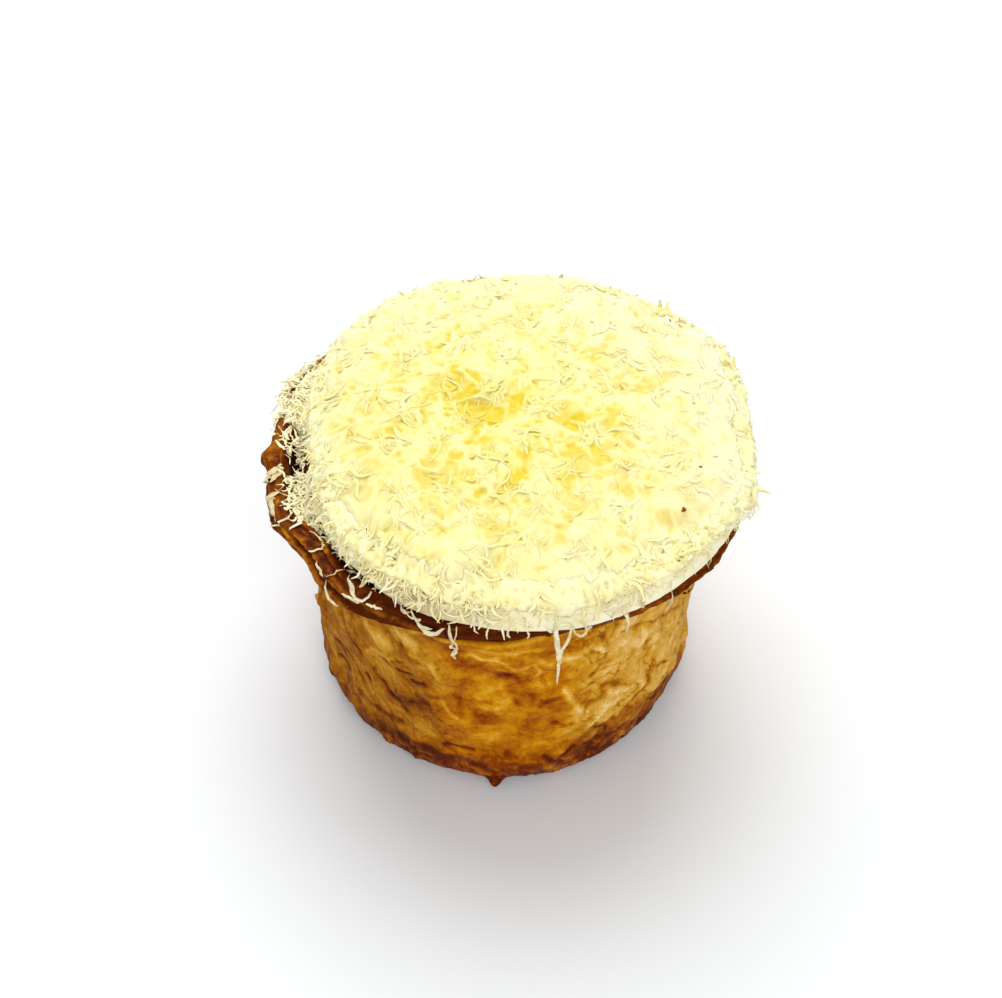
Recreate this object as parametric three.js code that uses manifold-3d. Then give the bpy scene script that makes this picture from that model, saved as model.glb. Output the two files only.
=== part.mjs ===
// Croissant roll: laminated dough rolled up and baked in a straight ring, so that its crown spills
// over the rim, topped with a layer of cream and a heap of finely grated cheese.
// Millimetres, +Z up. The origin is the centre of the flat foot, and the front looks along -Y.
// Directions are in degrees, counterclockwise from +X, so the front is at 270.

import * as THREE from "three";
import { mergeVertices } from "three/addons/utils/BufferGeometryUtils.js";
import Module from "manifold-3d";

const wasm = await Module();
wasm.setup();

// ---- Driving dimensions -------------------------------------------------------------------------

const FOOT_RADIUS = 33.5; // flat underside
const WALL_RADIUS = 38.5; // straight wall, as wide as the baking ring
const WALL_START = 9; // top of the rounding above the foot
const WALL_END = 45; // where the crown leaves the wall
const CROWN_RADIUS = 46.6;
const CROWN_EDGE_Z = 54.5; // height of the crown's widest line
const LIP_RADIUS = 42.6; // top of the crown's rounded edge
const PASTRY_TOP = 58;
const GROOVE_RADIUS = 39.8; // the gap just inside the outermost wrap
const GROOVE_DEPTH = 3.6;
const GROOVE_WIDTH = 1.6;
const CREASE_Z = 47; // upper edge of the outermost sheet, at the front
const CREASE_RISE = 5.5; // how much higher that edge runs at the sides
const LAYER_PITCH = 3.3; // between the layers that show on the crown

const TOPPING_CENTRE = new THREE.Vector2(4, 0); // the topping lies off centre, to the right
const CREAM_RADIUS = 44;
const CREAM_TOP = 64;
const CREAM_BULGE_Z = 60.6; // height of the cream's widest line
const CREAM_ROUND = 4;
const HEAP_RADIUS = 44.2;
const HEAP_EDGE_Z = 62.2; // lower edge of the cheese
const HEAP_TOP = 70.2;
const SHRED_WIDTH = 0.9;
const SHRED_THICKNESS = 0.5;
const GAP = 0.32; // left between pieces that touch

const PASTRY_STEPS = 78; // points round the pastry
const CREAM_STEPS = 48;
const HEAP_RINGS = 12; // rings of points on top of the heap
const LYING_SHREDS = 88;
const FRINGE_SHREDS = 36;

// Bulges of an outline: direction, half-width in degrees, reach in mm.
const CROWN_LOBES = [
  { at: 275, width: 34, reach: -3.4 },
  { at: 335, width: 22, reach: 0.75 },
  { at: 214, width: 9, reach: -1.2 },
  { at: 193, width: 20, reach: 0.9 },
  { at: 147, width: 16, reach: 1.4 },
  { at: 0, width: 25, reach: 0.5 },
];
const CREAM_LOBES = [
  { at: 264, width: 40, reach: 2.2 },
  { at: 185, width: 26, reach: -3.4 },
];
const HEAP_LOBES = [
  { at: 265, width: 45, reach: -1.6 },
  { at: 187, width: 24, reach: -2.8 },
  { at: 130, width: 26, reach: 1.6 },
  { at: 32, width: 18, reach: 1.1 },
  { at: 0, width: 12, reach: -1.6 },
  { at: 336, width: 8, reach: 2.2 },
];

// Blisters and crumbs of crust that stand out: direction, height, distance from the axis, half
// sizes (outwards, along the wall, upwards), and the turn in the plane of the wall.
const CRUST_LUMPS = [
  { at: 344, z: 16.3, out: 38.5, size: [1.3, 1.5, 2.2], turn: 10 },
  { at: 326, z: 22.3, out: 38.4, size: [1.1, 1.3, 1.9], turn: -30 },
  { at: 322, z: 48.6, out: 43.6, size: [2.4, 1.6, 0.9], turn: 15 },
  { at: 199, z: 29, out: 38.6, size: [1.2, 1, 2.2], turn: -10 },
  { at: 267, z: 1.4, out: 36.4, size: [2.6, 1.6, 1.1], turn: 0 },
  { at: 178, z: 57.4, out: 44.6, size: [2.4, 3.2, 1.9], turn: 12 },
  { at: 158, z: 57, out: 45.4, size: [2.2, 3, 1.4], turn: -9 },
];

// Flakes of cheese that fell on the crown: direction, distance from the axis, length, and the
// direction in which they lie.
const FALLEN_FLAKES = [
  { at: 184, out: 43.5, length: 6, along: 40 },
  { at: 189, out: 44.6, length: 5, along: 75 },
  { at: 194, out: 43.2, length: 6.5, along: 10 },
  { at: 199, out: 44.4, length: 7, along: 120 },
  { at: 206, out: 43, length: 4.5, along: 30 },
  { at: 224, out: 45.4, length: 5, along: 120 },
  { at: 233, out: 45.4, length: 5, along: 150 },
  { at: 239, out: 45.6, length: 4, along: 60 },
];

// Shreds that hang over the cream's edge: direction, length, sideways sway in degrees.
const HANGING_SHREDS = [
  { at: 253, length: 8, sway: -0.6 },
  { at: 256, length: 4, sway: 0.8 },
  { at: 276.6, length: 14, sway: 0.3 },
  { at: 280, length: 8, sway: -1.4 },
  { at: 287, length: 4, sway: 1.2 },
  { at: 294.5, length: 7, sway: 0.9 },
  { at: 312, length: 7, sway: -0.8 },
];

// ---- Fixed noise and draws ----------------------------------------------------------------------

const LATTICE_PRIMES = [73856093, 19349663, 83492791, 40503];
const MIXERS = [1274126177, 668265263];

// A value between -1 and 1 for each point of a whole-number lattice.
function latticeValue(...coordinates) {
  let h = coordinates.reduce((sum, c, i) => sum ^ Math.imul(c, LATTICE_PRIMES[i]), 0);
  h = Math.imul(h ^ (h >>> 13), MIXERS[0]);
  h = Math.imul(h ^ (h >>> 15), MIXERS[1]);
  return ((h ^ (h >>> 16)) >>> 0) / 2 ** 31 - 1;
}

// Smooth noise between -1 and 1 with bumps about one unit wide.
function noise(x, y, z, seed) {
  const corner = [x, y, z].map(Math.floor);
  const blend = [x, y, z].map((t, i) => THREE.MathUtils.smoothstep(t, corner[i], corner[i] + 1));
  let sum = 0;
  for (let k = 0; k < 8; k++) {
    const step = [k & 1, (k >> 1) & 1, k >> 2];
    const weight = step.reduce((w, s, i) => w * (s ? blend[i] : 1 - blend[i]), 1);
    sum += weight * latticeValue(...corner.map((c, i) => c + step[i]), seed);
  }
  return sum;
}

// A row of draws between 0 and 1 that repeats for the same seed.
function drawsFrom(seed) {
  let count = 0;
  return () => (latticeValue(++count, 0, 0, seed) + 1) / 2;
}

// ---- Forms --------------------------------------------------------------------------------------

const { degToRad, smoothstep, euclideanModulo } = THREE.MathUtils;
const GOLDEN_ANGLE = 137.508;

// 1 in the direction `at`, falling off to 0 over about two widths.
function lobe(degrees, { at, width }) {
  const away = euclideanModulo(degrees - at + 180, 360) - 180;
  return Math.exp(-((away / width) ** 2));
}

function reachOf(lobes, degrees) {
  return lobes.reduce((sum, l) => sum + l.reach * lobe(degrees, l), 0);
}

function polar(degrees, radius, height) {
  const angle = degToRad(degrees);
  return new THREE.Vector3(radius * Math.cos(angle), radius * Math.sin(angle), height);
}

function onTopping(degrees, radius, height) {
  const point = polar(degrees, radius, height);
  return point.add(new THREE.Vector3(TOPPING_CENTRE.x, TOPPING_CENTRE.y, 0));
}

// Points of a profile (radius, height) along a curve with the given corner between its ends.
function bow([r0, z0], [rc, zc], [r1, z1], steps) {
  const curve = new THREE.QuadraticBezierCurve(
    new THREE.Vector2(r0, z0),
    new THREE.Vector2(rc, zc),
    new THREE.Vector2(r1, z1),
  );
  return curve.getPoints(steps);
}

function straight([r0, z0], [r1, z1], steps) {
  return new THREE.LineCurve(new THREE.Vector2(r0, z0), new THREE.Vector2(r1, z1)).getPoints(steps);
}

// Joins two rings of vertex numbers with triangles, whatever the count of each.
function stitch(upper, lower) {
  const triangles = [];
  let [i, j] = [0, 0];
  const upperEnd = upper.length === 1 ? 0 : upper.length;
  const lowerEnd = lower.length === 1 ? 0 : lower.length;
  while (i < upperEnd || j < lowerEnd) {
    const a = upper[i % upper.length];
    const b = lower[j % lower.length];
    const lowerTurn = (j + 1) * upper.length <= (i + 1) * lower.length;
    if (i === upperEnd || (j < lowerEnd && lowerTurn)) {
      j += 1;
      triangles.push(a, b, lower[j % lower.length]);
    } else {
      i += 1;
      triangles.push(a, b, upper[i % upper.length]);
    }
  }
  return triangles;
}

// A closed body from rings of points, given from the middle of its top, outwards and round to the
// middle of its foot. `place` turns a ring's radius and height and a direction into a point.
function ringBody(rings, place) {
  const positions = [];
  const numbers = rings.map(({ radius, height, count }) =>
    Array.from({ length: count }, (_, i) => {
      place(radius, height, (360 * i) / count).toArray(positions, positions.length);
      return positions.length / 3 - 1;
    }),
  );
  const triangles = numbers.slice(1).flatMap((ring, i) => stitch(numbers[i], ring));
  const geometry = new THREE.BufferGeometry();
  geometry.setAttribute("position", new THREE.Float32BufferAttribute(positions, 3));
  geometry.setIndex(triangles);
  return geometry;
}

function ringsOf(profile, count) {
  return profile.map(({ x, y }) => ({ radius: x, height: y, count: x === 0 ? 1 : count }));
}

function solidOf(geometry) {
  const plain = geometry.clone();
  plain.deleteAttribute("normal");
  plain.deleteAttribute("uv");
  const merged = mergeVertices(plain, 1e-4);
  return new wasm.Manifold(
    new wasm.Mesh({
      numProp: 3,
      vertProperties: new Float32Array(merged.getAttribute("position").array),
      triVerts: new Uint32Array(merged.index.array),
    }),
  );
}

// A mesh of the solid's largest body, in the colour and with the roughness of its material.
function meshOf(name, solid, color, roughness) {
  const [body] = solid.decompose().sort((a, b) => b.volume() - a.volume());
  const { vertProperties, triVerts } = body.getMesh();
  const geometry = new THREE.BufferGeometry();
  geometry.setAttribute("position", new THREE.Float32BufferAttribute(vertProperties, 3));
  geometry.setIndex(new THREE.Uint32BufferAttribute(triVerts, 1));
  geometry.computeVertexNormals();
  const material = new THREE.MeshStandardMaterial({ color, roughness, metalness: 0 });
  const mesh = new THREE.Mesh(geometry, material);
  mesh.name = name;
  return mesh;
}

// A flat strip along a smooth line through the points.
function strip(points, width, thickness, steps) {
  const section = new THREE.Shape();
  section.moveTo(-width / 2, -thickness / 2);
  section.lineTo(width / 2, -thickness / 2);
  section.lineTo(width / 2, thickness / 2);
  section.lineTo(-width / 2, thickness / 2);
  section.closePath();
  const extrudePath = new THREE.CatmullRomCurve3(points);
  return solidOf(new THREE.ExtrudeGeometry(section, { steps, extrudePath }));
}

// ---- Pastry -------------------------------------------------------------------------------------

// Half profile from the middle of the top, over the groove and the lip, round the crown's edge and
// down the wall to the middle of the foot.
function pastryProfile() {
  const grooveInner = GROOVE_RADIUS - 3.2;
  return [
    new THREE.Vector2(0, PASTRY_TOP),
    ...straight([grooveInner, PASTRY_TOP], [LIP_RADIUS, PASTRY_TOP], 5),
    ...bow(
      [LIP_RADIUS, PASTRY_TOP],
      [CROWN_RADIUS - 0.4, PASTRY_TOP],
      [CROWN_RADIUS, CROWN_EDGE_Z],
      3,
    ).slice(1),
    ...bow(
      [CROWN_RADIUS, CROWN_EDGE_Z],
      [WALL_RADIUS + 1.5, CROWN_EDGE_Z - 3],
      [WALL_RADIUS, WALL_END],
      8,
    ).slice(1),
    ...straight([WALL_RADIUS, WALL_END], [WALL_RADIUS, WALL_START], 10).slice(1),
    ...bow([WALL_RADIUS, WALL_START], [WALL_RADIUS - 1, 0], [FOOT_RADIUS, 0], 3).slice(1),
    new THREE.Vector2(0, 0),
  ];
}

// How far the crust stands out of the plain wall: soft blisters, wrinkles that run up the wall on
// the left, cracks along it on the right, and at the front a broad dent below the crown.
function wallRelief({ x, y, z }) {
  const blisters = 0.8 * noise(x / 9, y / 9, z / 7, 11);
  const wrinkleFold = 1 - Math.abs(noise((x + 0.3 * z) / 5, y / 5, z / 14, 23));
  const crackFold = 1 - Math.abs(noise(x / 8, y / 8, z / 6, 29));
  const wrinkles = smoothstep(-x, 0, 20) * (wrinkleFold ** 3 - 0.4);
  const cracks = -smoothstep(x, 5, 22) * crackFold ** 6;
  const front = smoothstep(-y, 10, 25);
  const dent = Math.exp(-(((x - 1) / 9) ** 2) - ((z - 34 + 0.25 * x) / 5) ** 2);
  return blisters + wrinkles + 0.8 * cracks - 1.2 * front * dent;
}

// Low ridges, the edges of the dough's layers, that run round the crown and drift up and down.
function layerRelief(distance, degrees) {
  const { x, y } = polar(degrees, 3, 0);
  const drift = 1.6 * noise(x, y, 0, 31);
  return 0.55 * Math.sin((2 * Math.PI * (distance + drift)) / LAYER_PITCH);
}

// The step in at the upper edge of the outermost sheet.
function creaseRelief(height, degrees) {
  const crease = CREASE_Z + CREASE_RISE * (1 - lobe(degrees, { at: 262, width: 42 }));
  const above = smoothstep(height, crease - 0.6, crease + 0.6);
  return -0.8 * above * (1 - smoothstep(height, crease + 1.5, crease + 5));
}

function grooveRelief(radius, degrees) {
  const across = (radius - GROOVE_RADIUS) / GROOVE_WIDTH;
  const open = Math.max(
    lobe(degrees, { at: 243, width: 22 }),
    lobe(degrees, { at: 175, width: 20 }),
    0.4,
  );
  return -GROOVE_DEPTH * open * Math.exp(-(across ** 2));
}

// Where a point of the plain profile comes to lie, with the crown's bulges and all relief.
function pastryPoint(radius, height, degrees) {
  const inCrown = smoothstep(height, WALL_END, CROWN_EDGE_Z);
  const outwards = smoothstep(radius, WALL_RADIUS - 8, LIP_RADIUS);
  const spread = reachOf(CROWN_LOBES, degrees) * inCrown * outwards;
  const plain = polar(degrees, radius + spread, height);
  const onWall = smoothstep(height, 0, 5) * (1 - inCrown);
  const onEdge = inCrown * smoothstep(radius, LIP_RADIUS - 1, CROWN_RADIUS);
  const crumbs = 0.5 * noise(plain.x / 5, plain.y / 5, plain.z / 4, 5);
  const layers = layerRelief(radius - height, degrees);
  const out =
    onWall * wallRelief(plain) +
    inCrown * outwards * (crumbs + layers) +
    creaseRelief(height, degrees);
  const down =
    height === PASTRY_TOP
      ? grooveRelief(radius, degrees) + outwards * Math.min(0, layers - 0.4)
      : Math.min(0, onEdge * layers);
  return polar(degrees, radius + spread + (height === 0 ? 0 : out), height + down);
}

function crustLump({ at, z, out, size, turn }) {
  const geometry = new THREE.IcosahedronGeometry(1, 1);
  geometry.scale(...size);
  geometry.rotateX(degToRad(turn));
  geometry.translate(out, 0, z);
  geometry.rotateZ(degToRad(at));
  return solidOf(geometry);
}

// A flake that lies on the crown, half sunk in it.
function fallenFlake({ at, out, length, along }) {
  const drop = 0.28 * Math.max(0, out - LIP_RADIUS) ** 2;
  const middle = polar(at, out + reachOf(CROWN_LOBES, at), PASTRY_TOP + 0.3 - drop);
  const half = polar(along, length / 2, -0.4);
  const points = [
    middle.clone().sub(half.clone().setZ(0.6)),
    middle,
    middle.clone().add(half),
  ];
  return strip(points, 1.5, 0.7, 2);
}

function pastrySolid() {
  const body = solidOf(ringBody(ringsOf(pastryProfile(), PASTRY_STEPS), pastryPoint));
  return wasm.Manifold.union([
    body,
    ...CRUST_LUMPS.map(crustLump),
    ...FALLEN_FLAKES.map(fallenFlake),
  ]);
}

// ---- Cream --------------------------------------------------------------------------------------

// A flat round layer with a bulging edge, grown by `grow` on all sides.
function creamSolid(grow) {
  const base = PASTRY_TOP + GAP - grow;
  const top = CREAM_TOP + grow;
  const rim = CREAM_RADIUS + grow;
  const profile = [
    new THREE.Vector2(0, top),
    ...bow([rim - CREAM_ROUND, top], [rim, top], [rim, CREAM_BULGE_Z], 4),
    ...bow([rim, CREAM_BULGE_Z], [rim, base], [rim - CREAM_ROUND / 2, base], 2).slice(1),
    new THREE.Vector2(0, base),
  ];
  const place = (radius, height, degrees) => {
    const { x, y } = polar(degrees, 4, 0);
    const atRim = smoothstep(radius, CREAM_RADIUS / 2, CREAM_RADIUS - CREAM_ROUND);
    const wave = reachOf(CREAM_LOBES, degrees) + 0.7 * noise(x, y, 0, 41);
    return onTopping(degrees, radius + atRim * wave, height);
  };
  return solidOf(ringBody(ringsOf(profile, CREAM_STEPS), place));
}

// ---- Grated cheese ------------------------------------------------------------------------------

function heapRadius(degrees) {
  return HEAP_RADIUS + reachOf(HEAP_LOBES, degrees);
}

// Clumps and hollows of the packed shreds.
function heapRelief({ x, y, z }) {
  const clumps = noise(x / 7.5, y / 7.5, z / 7.5, 51);
  const shreds = noise(x / 3.4, y / 3.4, z / 3.4, 52);
  return 1.1 * clumps + 0.8 * shreds;
}

// Height of the heap at a share of its radius: nearly flat, with a rounded shoulder.
function heapHeight(share) {
  return HEAP_TOP - 1.2 * share ** 2 - (HEAP_TOP - 1.2 - HEAP_EDGE_Z - 2) * share ** 9;
}

function heapPoint(share, height, degrees) {
  const plain = onTopping(degrees, share * heapRadius(degrees), height);
  const relief = heapRelief(plain);
  const upper = smoothstep(height, HEAP_EDGE_Z, HEAP_EDGE_Z + 3);
  const outer = smoothstep(share, 0.85, 1) * relief;
  const moved = polar(degrees, 0.8 * outer, upper * relief);
  return plain.add(moved);
}

// The heap without its loose shreds: rings of ever more points on top, so that its triangles are
// even, then the rim and the hidden underside.
function heapCore() {
  const top = Array.from({ length: HEAP_RINGS + 1 }, (_, i) => ({
    radius: i / HEAP_RINGS,
    height: heapHeight(i / HEAP_RINGS),
    count: Math.max(1, 6 * i),
  }));
  const count = 6 * HEAP_RINGS;
  const below = [
    { radius: 1.01, height: HEAP_EDGE_Z + 0.9, count },
    { radius: 0.98, height: HEAP_EDGE_Z, count },
    { radius: 0.86, height: CREAM_TOP - 1.4, count },
    { radius: 0, height: CREAM_TOP - 1.4, count: 1 },
  ];
  return solidOf(ringBody([...top, ...below], heapPoint));
}

// The point of the heap's surface nearest above a place given by direction and share of radius.
function onHeap(degrees, share, lift) {
  return heapPoint(share, heapHeight(share), degrees).add(new THREE.Vector3(0, 0, lift));
}

// Shreds that lie on the heap, spread evenly as the seeds of a sunflower are.
function lyingShreds(count) {
  const draw = drawsFrom(61);
  return Array.from({ length: count }, (_, i) => {
    const degrees = GOLDEN_ANGLE * i;
    const share = 0.93 * Math.sqrt((i + 0.5) / count);
    const middle = onHeap(degrees, share, 0.6 + 0.5 * draw());
    const half = polar(360 * draw(), 2.6 + 2 * draw(), 0);
    const sideways = polar(360 * draw(), 0.8, 0);
    const from = middle.clone().sub(half).setZ(middle.z - 0.5 - 0.8 * draw());
    const to = middle.clone().add(half).setZ(middle.z - 0.2 - 1.4 * draw());
    return strip([from, middle.add(sideways), to], SHRED_WIDTH, SHRED_THICKNESS, 2);
  });
}

// Shreds that stick out round the edge of the heap, alternately high and low.
function fringeShreds(count) {
  const draw = drawsFrom(62);
  return Array.from({ length: count }, (_, i) => {
    const degrees = (360 * (i + 0.7 * draw())) / count;
    const rim = heapRadius(degrees);
    const z = HEAP_EDGE_Z + 1.4 + (i % 2) * 2 + draw();
    const reach = 1.2 + 1.6 * draw();
    const turn = 5 * (draw() - 0.5);
    const points = [
      onTopping(degrees, rim - 2.5, z),
      onTopping(degrees + turn, rim + 0.5 * reach, z),
      onTopping(degrees + 2 * turn, rim + reach, z - 1.8 * draw()),
    ];
    return strip(points, SHRED_WIDTH, SHRED_THICKNESS, 2);
  });
}

// A shred that bends over the cream's edge and hangs straight down.
function hangingShred({ at, length, sway }) {
  const rim = CREAM_RADIUS + reachOf(CREAM_LOBES, at) + 1.4;
  const points = [
    onTopping(at, rim - 6, CREAM_TOP + 2),
    onTopping(at, rim - 3, CREAM_TOP + 1.1),
    onTopping(at, rim - 0.2, CREAM_BULGE_Z + 1.8),
    onTopping(at + sway, rim, CREAM_BULGE_Z - 0.5 * length),
    onTopping(at + 2 * sway, rim - 0.3, CREAM_BULGE_Z - length),
  ];
  return strip(points, SHRED_WIDTH, SHRED_THICKNESS, 5);
}

function cheeseSolid() {
  return wasm.Manifold.union([
    heapCore(),
    ...lyingShreds(LYING_SHREDS),
    ...fringeShreds(FRINGE_SHREDS),
    ...HANGING_SHREDS.map(hangingShred),
  ]).subtract(creamSolid(GAP));
}

// ---- Assembly -----------------------------------------------------------------------------------

const roll = new THREE.Group();
roll.add(
  meshOf("pastry", pastrySolid(), 0xb9771c, 0.5),
  meshOf("cream", creamSolid(0), 0xf4eccb, 0.55),
  meshOf("grated_cheese", cheeseSolid(), 0xf8e98c, 0.6),
);

export default roll;
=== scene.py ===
"""Looks of the croissant roll: baked laminated pastry, a layer of cream, and a heap of grated cheese.

Sizes are in millimetres until a mesh is made. Directions are in degrees, counterclockwise from +X,
so the front of the roll is at 270.
"""

import math

import bpy
import numpy as np
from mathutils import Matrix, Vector


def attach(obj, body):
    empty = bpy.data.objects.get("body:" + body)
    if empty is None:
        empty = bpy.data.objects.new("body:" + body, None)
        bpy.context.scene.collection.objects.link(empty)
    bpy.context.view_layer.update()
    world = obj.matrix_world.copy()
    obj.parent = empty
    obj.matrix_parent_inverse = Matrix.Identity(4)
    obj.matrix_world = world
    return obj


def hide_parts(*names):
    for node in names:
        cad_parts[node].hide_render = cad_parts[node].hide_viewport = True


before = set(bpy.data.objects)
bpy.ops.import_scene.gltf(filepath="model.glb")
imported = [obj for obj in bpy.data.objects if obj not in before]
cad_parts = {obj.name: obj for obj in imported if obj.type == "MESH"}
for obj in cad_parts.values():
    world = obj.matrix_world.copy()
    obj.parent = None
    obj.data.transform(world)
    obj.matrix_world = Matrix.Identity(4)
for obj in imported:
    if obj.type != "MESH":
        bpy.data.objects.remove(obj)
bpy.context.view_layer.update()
MM = 0.001

# ---- Sizes of the solids ------------------------------------------------------------------------

FOOT_RADIUS = 33.5
WALL_RADIUS = 38.5
WALL_START = 9
WALL_END = 45
CROWN_RADIUS = 46.6
CROWN_EDGE_Z = 54.5
LIP_RADIUS = 42.6
PASTRY_TOP = 58
GROOVE_RADIUS = 39.8
GROOVE_DEPTH = 3.6
GROOVE_WIDTH = 1.6
CREASE_Z = 47
CREASE_RISE = 5.5
LAYER_PITCH = 3.3

TOPPING_CENTRE = (4.0, 0.0)
CREAM_RADIUS = 44
CREAM_TOP = 64
CREAM_BULGE_Z = 60.6
CREAM_BASE = 58.32
CREAM_ROUND = 4
HEAP_RADIUS = 44.2
HEAP_EDGE_Z = 62.2
HEAP_TOP = 70.2
# Heights down the shoulders of heap and cream.
SHOULDER_HEIGHTS = (66.8, 65.8, 65.0, 63.7, 61.6, 59.9)

# Bulges of an outline: direction, half-width in degrees, reach.
CROWN_LOBES = [(275, 34, -3.4), (335, 22, 0.75), (214, 9, -1.2), (193, 20, 0.9), (147, 16, 1.4), (0, 25, 0.5)]
CREAM_LOBES = [(264, 40, 2.2), (185, 26, -3.4)]
HEAP_LOBES = [(265, 45, -1.6), (187, 24, -2.8), (130, 26, 1.6), (32, 18, 1.1), (0, 12, -1.6), (336, 8, 2.2)]
# Notches in the lower edge of the cheese: direction about the topping, half-width, reach.
SKIRT_NOTCHES = [(289, 15, -1.2), (240, 16, -1.7), (266, 9, -1.3), (328, 20, -1.4)]

# Lumps on the wall: direction, height, how far out, half-width along, half-height.
CRUST_LUMPS = [
    (344, 16.3, 1.2, 1.6, 1.9),
    (326, 22.3, 1.0, 1.4, 1.6),
    (199, 29, 1.1, 1.0, 1.7),
    (267, 1.6, 2.6, 1.5, 1.0),
    (298, 41, 0.5, 3.0, 1.2),
]
# Marks on the wall: width in mm, how much more (or less) baked, then where they show in the
# photograph, in pixels.
WALL_MARKS = [
    (1.2, 0.35, [(337, 655), (342, 662), (346, 668)]),
    (0.9, 0.22, [(341, 612), (347, 628), (352, 640), (360, 652)]),
    (0.5, 0.25, [(336, 640), (344, 650), (350, 662)]),
    (0.7, 0.30, [(376, 677), (383, 686), (390, 693), (397, 698)]),
    (0.5, 0.35, [(380, 660), (390, 666), (400, 670), (410, 675)]),
    (1.0, 0.35, [(413, 682), (418, 686), (424, 683)]),
    (0.8, 0.20, [(424, 690), (432, 697), (440, 700)]),
    (0.6, 0.35, [(365, 676), (369, 681)]),
    (1.6, 0.22, [(360, 690), (370, 705), (385, 718), (400, 724)]),
    (3.5, 0.18, [(395, 700), (410, 703), (425, 706), (433, 712)]),
    (2.0, 0.25, [(400, 738), (415, 743), (430, 750)]),
    (1.0, 0.15, [(345, 680), (352, 690), (360, 702)]),
    (2.4, 0.18, [(455, 655), (462, 668), (475, 672), (490, 674), (505, 678)]),
    (2.4, 0.18, [(505, 678), (520, 686), (535, 697), (548, 693), (560, 688)]),
    (1.6, 0.14, [(463, 680), (457, 700), (463, 715)]),
    (0.8, 0.30, [(445, 745), (460, 748), (472, 752)]),
    (1.6, 0.25, [(440, 757), (460, 760), (480, 765), (495, 770)]),
    (0.8, 0.35, [(606, 660), (600, 664), (595, 672), (594, 677)]),
    (0.4, 0.30, [(583, 692), (592, 686), (597, 683)]),
    (0.5, 0.20, [(606, 642), (609, 647), (606, 652)]),
    (0.9, 0.18, [(585, 655), (592, 653), (590, 648)]),
    (1.0, 0.35, [(657, 663), (661, 660)]),
    (0.8, 0.30, [(650, 672), (647, 682), (642, 686), (635, 695), (633, 701)]),
    (0.6, 0.25, [(620, 632), (635, 628), (650, 622), (665, 616), (680, 606)]),
    (1.0, 0.20, [(540, 707), (550, 700), (560, 697)]),
    (1.0, 0.20, [(555, 722), (565, 726), (572, 722)]),
    (0.8, 0.30, [(560, 758), (570, 752), (575, 748)]),
    (1.0, 0.30, [(545, 757), (560, 762)]),
    (3.0, -0.30, [(395, 635), (405, 640), (412, 648)]),
    (2.5, -0.20, [(365, 625), (375, 635), (385, 645)]),
    (0.6, -0.25, [(370, 650), (380, 655), (392, 658)]),
    (1.5, -0.15, [(425, 650), (435, 655)]),
    (0.8, -0.15, [(480, 650), (495, 651), (520, 652), (545, 650)]),
    (0.7, -0.20, [(460, 658), (470, 656), (480, 661), (495, 659), (505, 663)]),
    (0.4, -0.22, [(505, 665), (515, 671), (527, 670), (535, 665)]),
    (2.4, -0.16, [(480, 700), (490, 692), (500, 690), (505, 700), (495, 710), (485, 708)]),
    (2.2, -0.14, [(530, 690), (540, 688), (543, 695)]),
    (0.8, -0.22, [(537, 665), (542, 675), (535, 680)]),
    (1.2, -0.25, [(560, 662), (570, 660), (580, 655), (590, 645), (600, 645), (604, 652)]),
    (0.9, -0.20, [(540, 662), (550, 667)]),
    (1.2, -0.25, [(565, 692), (572, 700), (578, 710), (572, 713)]),
    (1.4, -0.25, [(590, 725), (598, 717), (606, 706), (615, 700)]),
    (1.2, -0.15, [(610, 690), (620, 695), (630, 685), (640, 680)]),
    (3.0, -0.12, [(640, 640), (655, 630), (660, 640)]),
    (0.7, -0.22, [(440, 700), (447, 710), (452, 715), (457, 716)]),
    (0.7, -0.15, [(410, 655), (420, 660), (430, 665), (440, 678)]),
]
# Lumps on the crown: direction, how far out, half-width along.
CROWN_LUMPS = [(178, 1.3, 2.4), (158, 1.2, 2.2), (200, 0.6, 2.5), (327, 0.5, 3)]

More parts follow.
